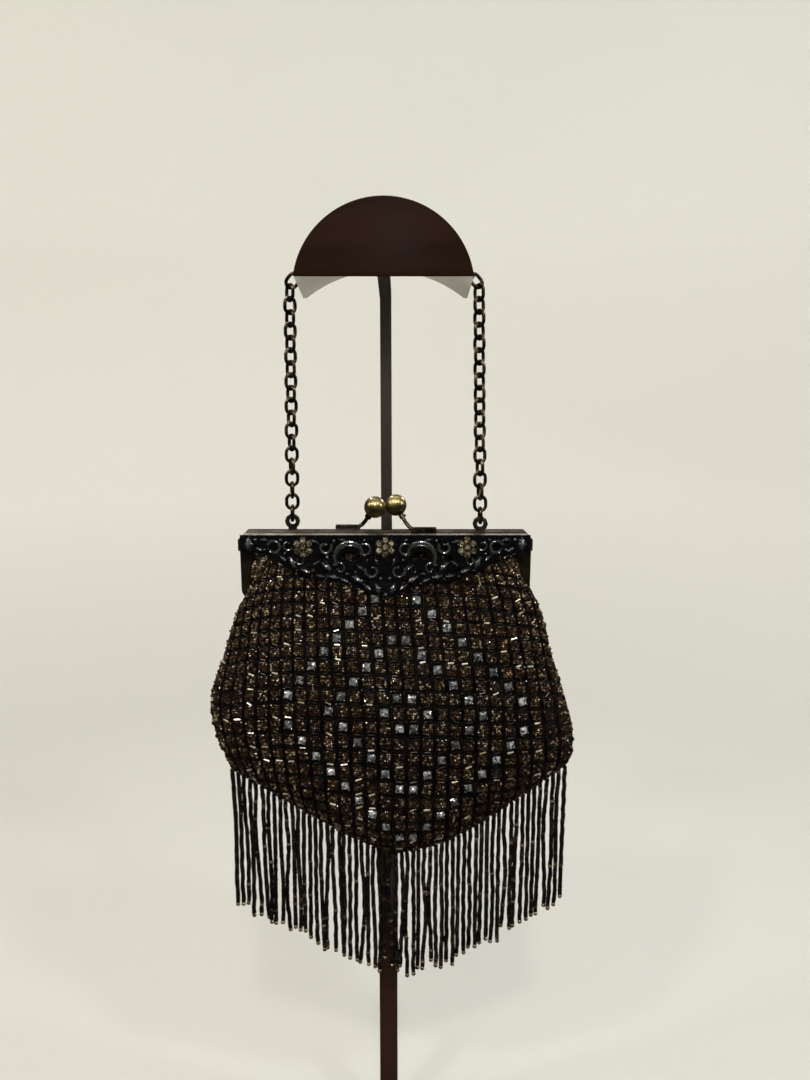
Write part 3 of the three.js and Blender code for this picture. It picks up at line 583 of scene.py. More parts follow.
def makeSaddle():
    thick, half, rise, far = (saddle[key] for key in ("thick", "halfChord", "sheetRise", "sheetLength"))
    count = saddle["steps"] + 1
    outlines = [arcLine(half, saddle["plateRise"], y) for y in (0.0, thick)]
    plate = (np.concatenate(outlines), tubeFaces(count, 2))
    over = [arcLine(half, rise, y) for y in (thick / 2, far)]
    under = [arcLine(half - thick, rise - thick, y) for y in (far, thick / 2)]
    sheet = (np.stack(over + under, axis=1).reshape(-1, 3), [f[:, ::-1] for f in tubeFaces(4, count)])
    tilt = Matrix.Rotation(math.radians(-saddle["tilt"]), 4, "X")
    shape = moved(joined([plate, sheet]), Matrix.Translation((0, 0, saddle["chordZ"])) @ tilt)
    rest = softened("saddleRest", "saddle", saddle["edge"], standPaint,
                    minAngle=saddle["minAngle"], source=meshOf("saddleArcs", shape))
    rest.data.materials.append(paleSheet)
    for face in rest.data.polygons:  # the sheet's faces behind the plate that face down are painted pale
        behindPlate = face.center.y > saddle["paleBehind"] * mm
        face.material_index = 1 if behindPlate and face.normal.z < saddle["paleBelow"] else 0


makeSaddle()

frameLook = {"railRound": 1.2, "railSteps": 4, "railProfile": 0.5, "railLength": 100.0, "level": 0.2,
             "edge": 0.3, "minAngle": 35.0, "highlightDepth": 1.3, "railHeight": 9.5, "highlightFrom": 0.3,
             "highlightTo": 0.97}


def makeFrameHalf(node, name):
    topZ = purse["railTopZ"] * mm
    bm = cleanForm(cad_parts[node].data)
    rails = [e for e in bm.edges if e.calc_length() > frameLook["railLength"] * mm
             and all(abs(v.co.z - topZ) < frameLook["level"] * mm for v in e.verts)]
    bevelled(bm, rails, frameLook["railRound"], frameLook["railSteps"], frameLook["railProfile"])
    rounded = bpy.data.meshes.new(name + "Rounded")
    bm.to_mesh(rounded)
    bm.free()
    half = softened(name, node, frameLook["edge"], agedBronze,
                    minAngle=frameLook["minAngle"], source=rounded)
    half.data.materials.append(railPaintedHighlight)
    half.data.materials.append(armBlack)
    for face in half.data.polygons:
        if face.center.z < topZ - frameLook["railHeight"] * mm:
            face.material_index = 2
        elif topZ - frameLook["highlightDepth"] * mm < face.center.z and face.normal.z > frameLook["highlightFrom"]:
            # painted highlight on the upward rounds only; the flat top takes the dark arm colour
            face.material_index = 1 if face.normal.z < frameLook["highlightTo"] else 2


makeFrameHalf("frame_front", "frameFront")
makeFrameHalf("frame_back", "frameBack")
hinge = {"edge": 0.35}
clasp = {"armEdge": 0.3, "armAngle": 30.0, "ballSegments": 56, "ballRings": 32}
for side in ("left", "right"):
    softened("hingeRivet" + side.title(), "hinge_rivet_" + side, hinge["edge"], agedBronze,
             softEdge["fineSteps"])
    softened("claspArm" + side.title(), "clasp_arm_" + side, clasp["armEdge"], chainBronze,
             minAngle=clasp["armAngle"])
print("stand and frame softened")

for side in ("left", "right"):
    low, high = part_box("clasp_ball_" + side)
    middle = np.array((low + high) / 2) / mm
    radius = (high.z - low.z) / 2 / mm
    points, faces = ball(clasp["ballSegments"], clasp["ballRings"])
    addPiece("claspBall" + side.title(), meshOf("claspBall", (points * radius + middle, faces)), [agedBrass],
             ("clasp_ball_" + side,))


# Chain: the CAD's route, with round links

chain = {"links": 55, "wire": 1.8, "halfWidth": 3.0, "bite": 0.25, "lift": 4.25, "overSaddle": 0.16,
         "twist": 45.0, "earX": 49.7, "earY": 4.0, "startZ": 4.75, "turnSteps": 10, "wireSides": 10,
         "overSteps": 60, "edgeSteps": 24, "legSteps": 80}


def arcRows(centre, radius, start, stop, steps):
    angles = np.linspace(start, stop, steps)
    return np.column_stack([centre[0] + radius * np.cos(angles), centre[1] + radius * np.sin(angles)])


def chainRoute():
    # x and z from ear to ear: up one leg, round the sheet's edges and over it, down the other leg
    half, rise = saddle["halfChord"], saddle["sheetRise"]
    radius = arcRadius(half, rise)
    drop = math.tan(math.radians(saddle["tilt"])) * purse["middleY"]
    centreZ = saddle["chordZ"] - drop - purse["railTopZ"] - (radius - rise)
    halfAngle = math.asin(half / radius)
    edge = np.array([half, centreZ + radius * math.cos(halfAngle)])
    start = np.array([chain["earX"], chain["startZ"]])
    toEar = start - edge
    turn = math.atan2(toEar[1], toEar[0]) + math.acos(chain["lift"] / np.linalg.norm(toEar))
    leg = edge + chain["lift"] * np.array([math.cos(turn), math.sin(turn)])
    top = math.pi / 2
    right = np.vstack([
        arcRows((0, centreZ), radius + chain["lift"], top, top - halfAngle, chain["overSteps"]),
        arcRows(edge, chain["lift"], top - halfAngle, turn, chain["edgeSteps"])[1:],
        np.linspace(leg, start, chain["legSteps"])[1:]])
    left = (right * [-1, 1])[::-1]
    return np.vstack([left, right[1:]])


def linkShape(length):
    straight = (length - chain["wire"]) / 2 - chain["halfWidth"]
    bend = arcRows((0, straight), chain["halfWidth"], 0, math.pi, chain["turnSteps"] + 1)
    end = np.column_stack([bend, np.zeros(len(bend))])
    return sweep(np.vstack([end, -end]), chain["wire"] / 2, chain["wireSides"], (0, 0, 1), True)


def makeChain():
    route = chainRoute()
    lengths = arcLengths(route)
    total = lengths[-1]
    pitch = (total - chain["wire"] + chain["bite"]) / chain["links"]
    length = pitch + 2 * chain["wire"] - chain["bite"]
    index = np.arange(chain["links"])
    at = (length - chain["wire"]) / 2 + index * pitch

    def spots(at):
        fromMiddle = 0.5 - at / total
        lean = np.maximum(0.0, np.abs(fromMiddle) - chain["overSaddle"]) / (0.5 - chain["overSaddle"])
        x, z = pointsAt(at, lengths, route).T
        return np.column_stack([x, np.copysign(chain["earY"] * lean, fromMiddle), z])

    along = unit(spots(at + pitch / 2) - spots(at - pitch / 2))
    normal = unit(np.cross(along, [0, 1.0, 0]))
    level = np.cross(normal, along)
    twist = math.radians(chain["twist"]) * np.sin(2 * math.pi * at / total)
    angle = (index % 2 * math.pi / 2 + twist)[:, None]  # every other link is turned a quarter
    width = level * np.cos(angle) + normal * np.sin(angle)
    axes = np.stack([width, along, np.cross(width, along)], axis=1)
    links = (spots(at) + purseZero, axes, np.ones(len(at)))
    addCopies("chainLinks", linkShape(length), links, None, chainBronze, ("chain",), True)


makeChain()
print("chain ready")


# Bag: cloth panels that repeat the solid's hang, then beads on them

bag = {"mouthZ": -9.9, "seamTopZ": -38.0, "shoulder": 6.0, "rim": 0.15, "roundSquare": 2.5,
       "squareStep": 6.75, "hingeClear": 6.0, "hingeHighZ": -37.0, "hingeLowZ": -52.0, "cloth": 1.2,
       "columns": 84, "rows": 64}
# fall, left, right, front, back, square
bagSections = np.array([
    (0.00, 66.0, 66.0, 6.0, 6.0, 16.0),
    (0.10, 72.0, 76.2, 9.8, 9.2, 13.0),
    (0.20, 78.8, 82.6, 13.0, 10.6, 7.0),
    (0.40, 86.8, 88.8, 21.5, 14.5, 3.2),
    (0.62, 95.3, 97.0, 25.5, 17.2, 2.6),
    (0.80, 93.5, 102.4, 21.5, 16.0, 2.5),
    (0.93, 88.9, 102.3, 10.5, 8.5, 2.5),
    (1.00, 86.2, 99.5, 0.15, 0.15, 2.5)])
sectionColumn = {"left": 1, "right": 2, "front": 3, "back": 4, "square": 5}
# across, z of the pointed hem
hemRows = np.array([(-1.00, -135.5), (-0.57, -159.5), (-0.25, -176.5), (0.03, -186.5), (0.20, -184.5),
                    (0.42, -175.5), (1.00, -134.0)])
# across, width, dip of the shallow folds
foldRows = [(-0.56, 0.13, 1.8), (-0.12, 0.12, 1.3), (0.38, 0.13, 1.7)]


def readTable(rows, at, column):
    # smooth curve through the rows' values
    x, y = rows[:, 0], rows[:, column]
    last = len(x) - 1
    before, after = np.maximum(np.arange(last + 1) - 1, 0), np.minimum(np.arange(last + 1) + 1, last)
    slopes = (y[after] - y[before]) / (x[after] - x[before])
    i = np.clip(np.searchsorted(x, at) - 1, 0, last - 1)
    span = x[i + 1] - x[i]
    t = (at - x[i]) / span
    return ((1 + 2 * t) * (1 - t) ** 2 * y[i] + t * (1 - t) ** 2 * span * slopes[i]
            + t * t * (3 - 2 * t) * y[i + 1] - t * t * (1 - t) * span * slopes[i + 1])


def section(name, fall):
    return readTable(bagSections, fall, sectionColumn[name])


def hemZ(across):
    return readTable(hemRows, across, 1)


def halfWidth(across, fall):
    return np.where(across < 0, section("left", fall), section("right", fall))


def bagPoints(side, across, fall):
    # side is -1 for the front panel and 1 for the back one
    edge = np.abs(across)
    square = section("square", fall)
    level = 2 + (square - bag["roundSquare"]) / bag["squareStep"]
    crown = np.maximum(0, 1 - edge ** square) ** (1 / level)
    arch = np.maximum(0, 1 - edge ** bag["shoulder"]) ** (1 / bag["shoulder"])
    topZ = bag["seamTopZ"] + (bag["mouthZ"] - bag["seamTopZ"]) * arch
    depth = section("front" if side < 0 else "back", fall) * crown
    for at, width, dip in foldRows:
        depth = depth - dip * np.exp(-((across - at) / width) ** 2) * np.sin(math.pi * fall)
    z = topZ + (hemZ(across) - topZ) * fall
    aboveSeam = (z - bag["hingeLowZ"]) / (bag["hingeHighZ"] - bag["hingeLowZ"])
    depth = np.maximum(depth, bag["rim"] + bag["hingeClear"] * np.clip(aboveSeam, 0, 1))
    return np.stack([halfWidth(across, fall) * across, side * depth, z], axis=-1) + purseZero


def makePanel(name, side, node):
    across = np.sin(np.linspace(-math.pi / 2, math.pi / 2, bag["columns"] + 1))
    fall = np.linspace(0, 1, bag["rows"] + 1)
    outer = bagPoints(side, *np.meshgrid(across, fall)).reshape(-1, 3)
    behind = len(outer)
    quads, ring = gridFaces(len(fall), len(across))
    after = np.roll(ring, -1)
    rim = np.column_stack([ring, after, after + behind, ring + behind])
    if side > 0:
        quads, rim = quads[:, ::-1], rim[:, ::-1]
    sheet = meshOf(name + "Sheet", (outer, [quads]))
    normals = np.zeros(outer.size, np.float32)
    sheet.vertices.foreach_get("normal", normals)
    bpy.data.meshes.remove(sheet)
    inner = outer - bag["cloth"] * normals.reshape(-1, 3)
    nearest = purse["middleY"] + side * bag["rim"]
    inner[:, 1] = np.minimum(inner[:, 1], nearest) if side < 0 else np.maximum(inner[:, 1], nearest)
    shape = (np.concatenate([outer, inner]), [quads, quads[:, ::-1] + behind, rim])
    panel = addPiece(name, meshOf(name, shape), [satinGround], (node,))
    print(name, "one side, square metres:", round(sum(p.area for p in panel.data.polygons) / 2, 5))
    return panel


clothFront = makePanel("clothFront", -1, "bag_front")
clothBack = makePanel("clothBack", 1, "bag_back")

# the bead grid: columns follow the sides, rows hang a little further apart towards the hem
grid = {"halfColumns": 13, "cells": 13.5, "firstRow": -2, "lastRow": 22, "rowStart": 18.1, "rowStep": 6.79,
        "rowGrowth": 0.0713, "rowSlope": 0.045, "straighten": 0.75, "middleHalf": 95.0, "lean": 0.2,
        "leanTo": 0.5, "spread": 0.09, "spreadTo": 0.42, "spreadFade": 0.4, "spreadLeast": 0.2,
        "columnEnd": 0.992, "beadEnd": 0.995, "frameEnd": 0.999, "frameStep": 1e-3, "samples": 220,
        "mouthMargin": 0.8, "hemMargin": 1.2, "flatLift": 0.35, "fullLiftFall": 0.16}
beadColumns = range(-grid["halfColumns"], grid["halfColumns"] + 1)
beadRows = np.arange(grid["firstRow"], grid["lastRow"] + 1)


def rowArc(row):
    return grid["rowStart"] + grid["rowStep"] * row + grid["rowGrowth"] * row * row


def rowPitch(row):
    return rowArc(row + 0.5) - rowArc(row - 0.5)


def columnFall(side, column):
    # one bead column from mouth to hem: its places across, its fall and the length along it
    fall = np.linspace(0, 1, grid["samples"])
    v = np.clip(column / grid["cells"], -grid["columnEnd"], grid["columnEnd"])
    inward = 1 - v * v
    fade = 1 - (fall - grid["spreadTo"]) / grid["spreadFade"]
    spread = grid["spread"] * np.clip(fade, grid["spreadLeast"], 1)
    straight = grid["straighten"] * (grid["middleHalf"] / halfWidth(v, fall) - 1)
    across = v * (1 + (straight + spread) * inward)
    across = across + side * grid["lean"] * np.maximum(0, grid["leanTo"] - fall) * inward
    across = np.clip(across, -grid["beadEnd"], grid["beadEnd"])
    return across, fall, arcLengths(bagPoints(side, across, fall))


def spotsOn(side, column, arcs):
    # where a column's beads sit: only those between the mouth and the hem are kept
    across, fall, lengths = columnFall(side, column)
    arcs = arcs + grid["rowSlope"] * column / grid["cells"] * grid["middleHalf"]
    kept = (arcs > grid["mouthMargin"]) & (arcs < lengths[-1] - grid["hemMargin"])
    return kept, np.interp(arcs[kept], lengths, across), np.interp(arcs[kept], lengths, fall)


def surfaceFrames(side, across, fall):
    # unit vectors on the surface, sideways and down, and out of it
    step, end = grid["frameStep"], grid["frameEnd"]
    after, before = np.clip(across + step, -end, end), np.clip(across - step, -end, end)
    sideways = bagPoints(side, after, fall) - bagPoints(side, before, fall)
    below, above = np.clip(fall + step, 0, 1), np.clip(fall - step, 0, 1)
    down = unit(bagPoints(side, across, below) - bagPoints(side, across, above))
    out = unit(np.cross(sideways, down) * side)
    return np.cross(down, out), down, out


def lifted(side, across, fall, out, lift):
    # beads lie flatter where the ornament covers them
    share = np.clip(grid["flatLift"] + fall / grid["fullLiftFall"], grid["flatLift"], 1.0)
    return bagPoints(side, across, fall) + out * (lift * share)[:, None]


def gathered(rows):
    return [np.concatenate(part) for part in zip(*rows)]


# square stones in three nested diamonds on the front; ring rows: share of half, share of cut, height
stones = {"middleColumn": 1.5, "middleRow": 9, "reaches": (1.5, 5.5, 9.5), "half": 2.15, "cut": 0.34,
          "lift": 0.9, "rings": ((0.9, 0.9, -0.8), (1.0, 1.0, 0.15), (0.78, 0.9, 0.93), (0.5, 0.7, 1.5)),
          "spin": 0.06, "tones": (0.03, 0.40)}
claws = {"size": (0.42, 0.42, 0.5), "corner": 0.86, "rise": 0.75, "wire": 0.28, "wireSides": 6,
         "bars": 8, "loopReach": 1.2508, "loopHalf": 1.04, "loopRise": -0.15, "sharpAngle": 40}


def hasStone(side, column, row):
    if side > 0:
        return False
    reach = abs(column - stones["middleColumn"]) + abs(row - stones["middleRow"])
    corner = row == stones["middleRow"] and reach == stones["reaches"][-1]
    return reach in stones["reaches"] and not corner and row > 0


# seeds fill the squares, in a small grid that puffs up in the middle
seeds = {"perCell": {-1: 5, 1: 4}, "radius": {-1: (0.52, 0.68), 1: (0.62, 0.80)}, "fillWide": 0.75,
         "fillTall": 0.73, "lift": 0.35, "puff": 1.0, "jitter": 0.13, "brightShare": 0.12,
         "bright": (0.85, 1.0), "plain": (1.5, 3.0)}


def makeSeeds(side, ending):
    per = seeds["perCell"][side]
    offsets = (np.arange(per) - (per - 1) / 2) / per
    found = []
    for column in beadColumns:
        free = np.array([row for row in beadRows if not hasStone(side, column, row)])
        inCell = offsets[None, :] * rowPitch(free)[:, None] * seeds["fillTall"]
        for offset in offsets:
            arcs = (rowArc(free)[:, None] + inCell).ravel()
            arcs = arcs + rng.normal(0, seeds["jitter"], len(arcs))
            kept, across, fall = spotsOn(side, column + offset * seeds["fillWide"], arcs)
            count = len(fall)
            across = across + rng.normal(0, seeds["jitter"] / grid["middleHalf"], count)
            across = np.clip(across, -grid["beadEnd"], grid["beadEnd"])
            out = surfaceFrames(side, across, fall)[2]
            radius = rng.uniform(*seeds["radius"][side], count)
            puff = seeds["puff"] * (1 - 2 * offset ** 2 - np.tile(2 * offsets ** 2, len(free))[kept])
            isBright = rng.random(count) < seeds["brightShare"]
            plain = np.clip(rng.beta(*seeds["plain"], count), 0, seeds["bright"][0])
            tone = np.where(isBright, rng.uniform(*seeds["bright"], count), plain)
            found.append((lifted(side, across, fall, out, seeds["lift"] + puff), radius, tone))
    places, radii, tones = gathered(found)
    upper = places[:, 2] > np.median(places[:, 2])
    for label, part in (("Upper", upper), ("Lower", ~upper)):
        spots = (places[part], turnedRandomly(part.sum()), radii[part])
        addCopies("seedBeads" + ending + label, cutBall(), spots, tones[part], seedBronze)
    print("seed beads", ending, len(places))


# bugles: dark upright ones between the columns, brighter level ones between the rows
bugles = {"upRadius": 0.70, "upLength": 0.93, "upLift": 0.75, "upTones": (1.2, 2.5), "hingeFall": 0.12,
          "overRadius": 0.54, "overLength": 0.5, "overLift": 1.05, "wander": 0.20, "upendedShare": 0.07,
          "brightShare": 0.20, "bright": (0.7, 1.0), "plain": (0.0, 0.5), "sides": 6, "sharpAngle": 30,
          "profile": ((-0.5, 0.72), (-0.46, 1.0), (0.46, 1.0), (0.5, 0.72))}
bugleTube = barrel(bugles["sides"], bugles["profile"])


def bugleSizes(radius, lengths):
    return np.column_stack([np.full((len(lengths), 2), radius), lengths])


def addBugles(name, places, axes, sizes, tones, material):
    spots = (places, axes, sizes)
    addCopies(name, bugleTube, spots, tones, material, (), True, bugles["sharpAngle"])


def makeUprightBugles(side, ending):
    found = []
    for column in np.arange(-grid["cells"], grid["cells"] + 1):
        kept, across, fall = spotsOn(side, column, rowArc(beadRows))
        length = rowPitch(beadRows)[kept] * bugles["upLength"]
        onSeam = abs(column) > grid["cells"] - 0.5
        clear = (fall > bugles["hingeFall"]) | (not onSeam)  # none where the seam turns in to the hinge
        across, fall, length = across[clear], fall[clear], length[clear]
        over, down, out = surfaceFrames(side, across, fall)
        along = unit(down + over * rng.normal(0, bugles["wander"] / 2, len(fall))[:, None])
        axes = axesAlong(along, np.cross(along, out))
        found.append((lifted(side, across, fall, out, bugles["upLift"]), axes,
                      bugleSizes(bugles["upRadius"], length), rng.beta(*bugles["upTones"], len(fall))))
    addBugles("uprightBugles" + ending, *gathered(found), bugleDark)


def makeLevelBugles(side, ending):
    found = []
    for column in beadColumns:
        across, fall = spotsOn(side, column, rowArc(beadRows + 0.5))[1:]
        over, down, out = surfaceFrames(side, across, fall)
        length = halfWidth(across, fall) / grid["cells"] * bugles["overLength"]
        count = len(fall)
        upended = (rng.random(count) < bugles["upendedShare"])[:, None]
        lean = rng.normal(0, bugles["wander"], count)[:, None]
        tip = rng.normal(0, bugles["wander"], count)[:, None]
        along = unit(np.where(upended, down, over) + np.where(upended, over, down) * lean + out * tip)
        flank = unit(np.cross(along, out))
        # each tube's facets catch the lamps differently
        roll = rng.uniform(0, 2 * math.pi / bugles["sides"], count)[:, None]
        flank = flank * np.cos(roll) + np.cross(along, flank) * np.sin(roll)
        # a share of the tubes is painted bright gold to white: partly gold-lined beads, partly painted glints
        # that shine whatever the lamps
        isBright = rng.random(count) < bugles["brightShare"]
        bright, plain = rng.uniform(*bugles["bright"], count), rng.uniform(*bugles["plain"], count)
        found.append((lifted(side, across, fall, out, bugles["overLift"]), axesAlong(along, flank),
                      bugleSizes(bugles["overRadius"], length), np.where(isBright, bright, plain)))
    addBugles("levelBugles" + ending, *gathered(found), bugleBright)


def squareStone():
    # square with cut corners: straight girdle, eight crown facets, flat table
    rings = []
    for wide, corner, z in stones["rings"]:
        h = wide * stones["half"]
        c = h - corner * stones["cut"] * stones["half"]
        rings += [(h, -c, z), (h, c, z), (c, h, z), (-c, h, z),
                  (-h, c, z), (-h, -c, z), (-c, -h, z), (c, -h, z)]
    return np.array(rings), tubeFaces(len(rings) // len(stones["rings"]), len(stones["rings"]))


def clawSetting():
    # four claws at the corners of a wire square
    half = stones["half"]
    corner, limit = half * claws["corner"], half * claws["loopHalf"]
    claw, faces = cutBall(2)
    parts = [(claw * claws["size"] + [sx * corner, sy * corner, claws["rise"]], faces)
             for sx in (-1, 1) for sy in (-1, 1)]
    start = math.pi / 4
    loop = arcRows((0, 0), half * claws["loopReach"], start, start + 2 * math.pi, claws["bars"] + 1)
    loop = np.column_stack([np.clip(loop, -limit, limit), np.full(len(loop), claws["loopRise"])])
    for bar in zip(loop[:-1], loop[1:]):
        parts.append(sweep(bar, claws["wire"], claws["wireSides"], (0, 0, 1)))
    return joined(parts)


def makeStones(side, ending):
    found = []
    for column in beadColumns:
        chosen = np.array([row for row in beadRows if hasStone(side, column, row)])
        if len(chosen) > 0:
            across, fall = spotsOn(side, column, rowArc(chosen))[1:]
            over, down, out = surfaceFrames(side, across, fall)
            found.append((bagPoints(side, across, fall) + out * stones["lift"], over, down, out))
    places, over, down, out = gathered(found)
    spin = rng.normal(0, stones["spin"], len(places))[:, None]
    spots = (places, axesAlong(out, over * np.cos(spin) - down * np.sin(spin)), np.ones(len(places)))
    # painted glints: each stone is painted brighter or darker at random
    tones = rng.uniform(*stones["tones"], len(places))
    addCopies("squareStones" + ending, squareStone(), spots, tones, crystal)
    addCopies("stoneClaws" + ending, clawSetting(), spots, None, stoneSilver, (), True,
              claws["sharpAngle"])
    print("square stones", ending, len(places))


for side, ending in ((-1, "Front"), (1, "Back")):
    makeSeeds(side, ending)
    makeUprightBugles(side, ending)
    makeLevelBugles(side, ending)
    if side < 0:
        makeStones(side, ending)

# a corded edge of larger beads closes the side seams and the hem; each row of squares ends in a small bulge
edging = {"radius": 1.3, "uneven": (0.85, 1.1), "step": 1.9, "jitter": 0.28, "lump": 0.75, "lumpStep": 7.2,
          "topFall": 0.1, "seamSamples": 200, "hemSamples": 400, "tones": (1.4, 2.6)}


def seamLine(end):
    fall = np.linspace(edging["topFall"], 1.0, edging["seamSamples"])
    z = bag["seamTopZ"] + (hemZ(end) - bag["seamTopZ"]) * fall
    return np.column_stack([halfWidth(end, fall) * end, 0 * fall, z])


def makeEdging():
    across = np.linspace(-1, 1, edging["hemSamples"])
    hem = np.column_stack([halfWidth(across, 1.0) * across, 0 * across, hemZ(across)])
    line = np.concatenate([seamLine(-1.0), hem[1:-1], seamLine(1.0)[::-1]]) + purseZero
    lengths = arcLengths(line)
    at = np.arange(0, lengths[-1], edging["step"])
    count = len(at)
    places = pointsAt(at, lengths, line) + rng.normal(0, edging["jitter"], (count, 3))
    lumps = edging["lump"] * np.sin(2 * math.pi * at / edging["lumpStep"])
    places[:, 0] += np.sign(places[:, 0]) * lumps
    radius = edging["radius"] * rng.uniform(*edging["uneven"], count)
    spots = (places, turnedRandomly(count), radius)
    addCopies("seamBeads", cutBall(2), spots, rng.beta(*edging["tones"], count), seedBronze)


makeEdging()

# rows of seeds bind the cloth's mouth; row values: fall, outwards, first across
binding = {"radius": 0.74, "uneven": (0.8, 1.1), "step": 1.4, "jitter": 0.15, "samples": 600, "reach": 1.5,
           "tones": (0.25, 0.97),
           "rows": ((0.012, 0.0, 0.0), (0.0, 0.4, 0.0), (0.0, 1.6, 0.62), (0.0, 2.7, 0.80), (0.0, 3.8, 0.86),
                    (0.0, 4.8, 0.90))}
# and a few bugles poke out of the side seams
pokes = {"count": 64, "length": 4.6, "across": 0.985, "fall": (0.16, 0.95), "swingY": 0.25, "swingZ": 0.4,
         "tones": (0.2, 0.9)}


def makeBinding(side, ending):
    across = np.sin(np.linspace(-binding["reach"], binding["reach"], binding["samples"]))
    places = []
    for fall, out, first in binding["rows"]:
        line = bagPoints(side, across, fall)
        way = unit(np.gradient(line, axis=0))
        line = line + out * np.column_stack([-way[:, 2], 0 * way[:, 1], way[:, 0]])
        lengths = arcLengths(line)
        at = np.arange(0, lengths[-1], binding["step"])
        at = at[np.abs(np.interp(at, lengths, across)) >= first]
        places.append(pointsAt(at, lengths, line))
    places = np.concatenate(places)
    count = len(places)
    places = places + rng.normal(0, binding["jitter"], places.shape)
    radius = binding["radius"] * rng.uniform(*binding["uneven"], count)
    spots = (places, turnedRandomly(count), radius)
    tones = rng.uniform(*binding["tones"], count)
    addCopies("mouthBeads" + ending, cutBall(2), spots, tones, seedBronze)


def makePokes():
    count = pokes["count"]
    fall = rng.uniform(*pokes["fall"], count)
    end = np.where(np.arange(count) % 2 == 0, -1.0, 1.0)
    swing = [rng.normal(0, pokes[key], count) for key in ("swingY", "swingZ")]
    along = unit(np.column_stack([end, *swing]))
    flank = unit(np.cross(along, [0, 1.0, 0]))
    sizes = bugleSizes(bugles["overRadius"], np.full(count, pokes["length"]))
    addBugles("seamBugles", bagPoints(-1, end * pokes["across"], fall), axesAlong(along, flank), sizes,
              rng.uniform(*pokes["tones"], count), bugleBright)


makeBinding(-1, "Front")
makeBinding(1, "Back")
makePokes()
print("bag ready")


# Fringe: hanging strands of cut beads, each with a round bead at its tip

fringe = {"strands": 58, "endOver": 0.6, "jitter": 0.2, "rowDepth": 0.5, "below": 1.0, "length": 77.0,
          "endLonger": 6.0, "endBend": 3, "uneven": 2.0, "heldShare": 0.25, "driftBend": 1.5,
          "beadRadius": 1.45, "beadUneven": (0.88, 1.08), "beadStep": 1.5,
          "beadFill": 0.98, "beadSides": 6, "beadProfile": ((-0.5, 0.76), (0.0, 1.0), (0.5, 0.76)),
          "tones": (1.2, 2.2), "waves": (1.2, 2.6), "sway": 0.55, "swayDepth": 0.5, "drift": 0.6,
          "driftDepth": 0.8, "kink": 0.11, "kinks": (3.0, 9.0), "kinkCount": 2, "tipRadius": 1.3,
          "tipDrop": 1.9}


def makeFringe():
    left, right = section("left", 1.0), section("right", 1.0)
    starts = np.linspace(-left - fringe["endOver"], right + fringe["endOver"], fringe["strands"])
    starts = starts + rng.normal(0, fringe["jitter"], fringe["strands"])
    depths = rng.normal(0, fringe["rowDepth"], fringe["strands"])
    found = []
    tips = []
    for x, y in zip(starts, depths):
        across = x / (left if x < 0 else right)
        longer = fringe["endLonger"] * min(1, abs(across)) ** fringe["endBend"]
        length = fringe["length"] + longer + rng.normal(0, fringe["uneven"])
        count = int(length / fringe["beadStep"])
        t = (np.arange(count) + 0.5) / count
        phase = rng.uniform(0, 2 * math.pi)
        swing = rng.uniform(*fringe["waves"]) * math.pi * t + phase
        sway = rng.normal(0, fringe["sway"]) * np.minimum(1, t / fringe["heldShare"])  # straight at the seam
        px = x + rng.normal(0, fringe["drift"]) * t ** fringe["driftBend"] + sway * np.sin(swing)
        for kinks in rng.uniform(*fringe["kinks"], fringe["kinkCount"]):  # never a quite straight line
            px += fringe["kink"] * np.sin(2 * math.pi * (kinks * t + rng.random()))
        py = y + rng.normal(0, fringe["driftDepth"]) * t + fringe["swayDepth"] * sway * np.cos(swing)
        line = np.column_stack([px, py, hemZ(across) - fringe["below"] - length * t]) + purseZero
        along = unit(np.gradient(line, axis=0))
        flank = unit(np.cross(along, rng.normal(0, 1, 3)))
        radius = fringe["beadRadius"] * rng.uniform(*fringe["beadUneven"], count)
        sizes = np.column_stack([radius, radius, np.full(count, fringe["beadStep"] * fringe["beadFill"])])
        found.append((line, axesAlong(along, flank), sizes, rng.beta(*fringe["tones"], count)))
        tips.append(line[-1] + along[-1] * fringe["tipDrop"])
    *spots, tones = gathered(found)
    bead = barrel(fringe["beadSides"], fringe["beadProfile"])
    addCopies("fringeStrands", bead, spots, tones, fringeGlass, ("fringe",))
    tipSpots = (np.array(tips), turnedRandomly(len(tips)), np.full(len(tips), fringe["tipRadius"]))
    addCopies("fringeTips", ball(), tipSpots, None, clawGold, (), True)
    print("fringe beads", len(tones))


makeFringe()


# Ornament: a pierced casting with leaves, scrolls and ring cups, mirrored about the middle

ornament = {"topZ": -1.0, "standOff": 8.0, "tilt": -5.0, "plate": 1.4, "relief": 1.9, "wearAndHighlightFrom": 0.3,
            "sharpAngle": 42}
ornamentZero = (0, purse["middleY"] - ornament["standOff"], purse["railTopZ"] + ornament["topZ"])
ornamentPlace = Matrix.Translation(ornamentZero) @ Matrix.Rotation(math.radians(ornament["tilt"]), 4, "X")
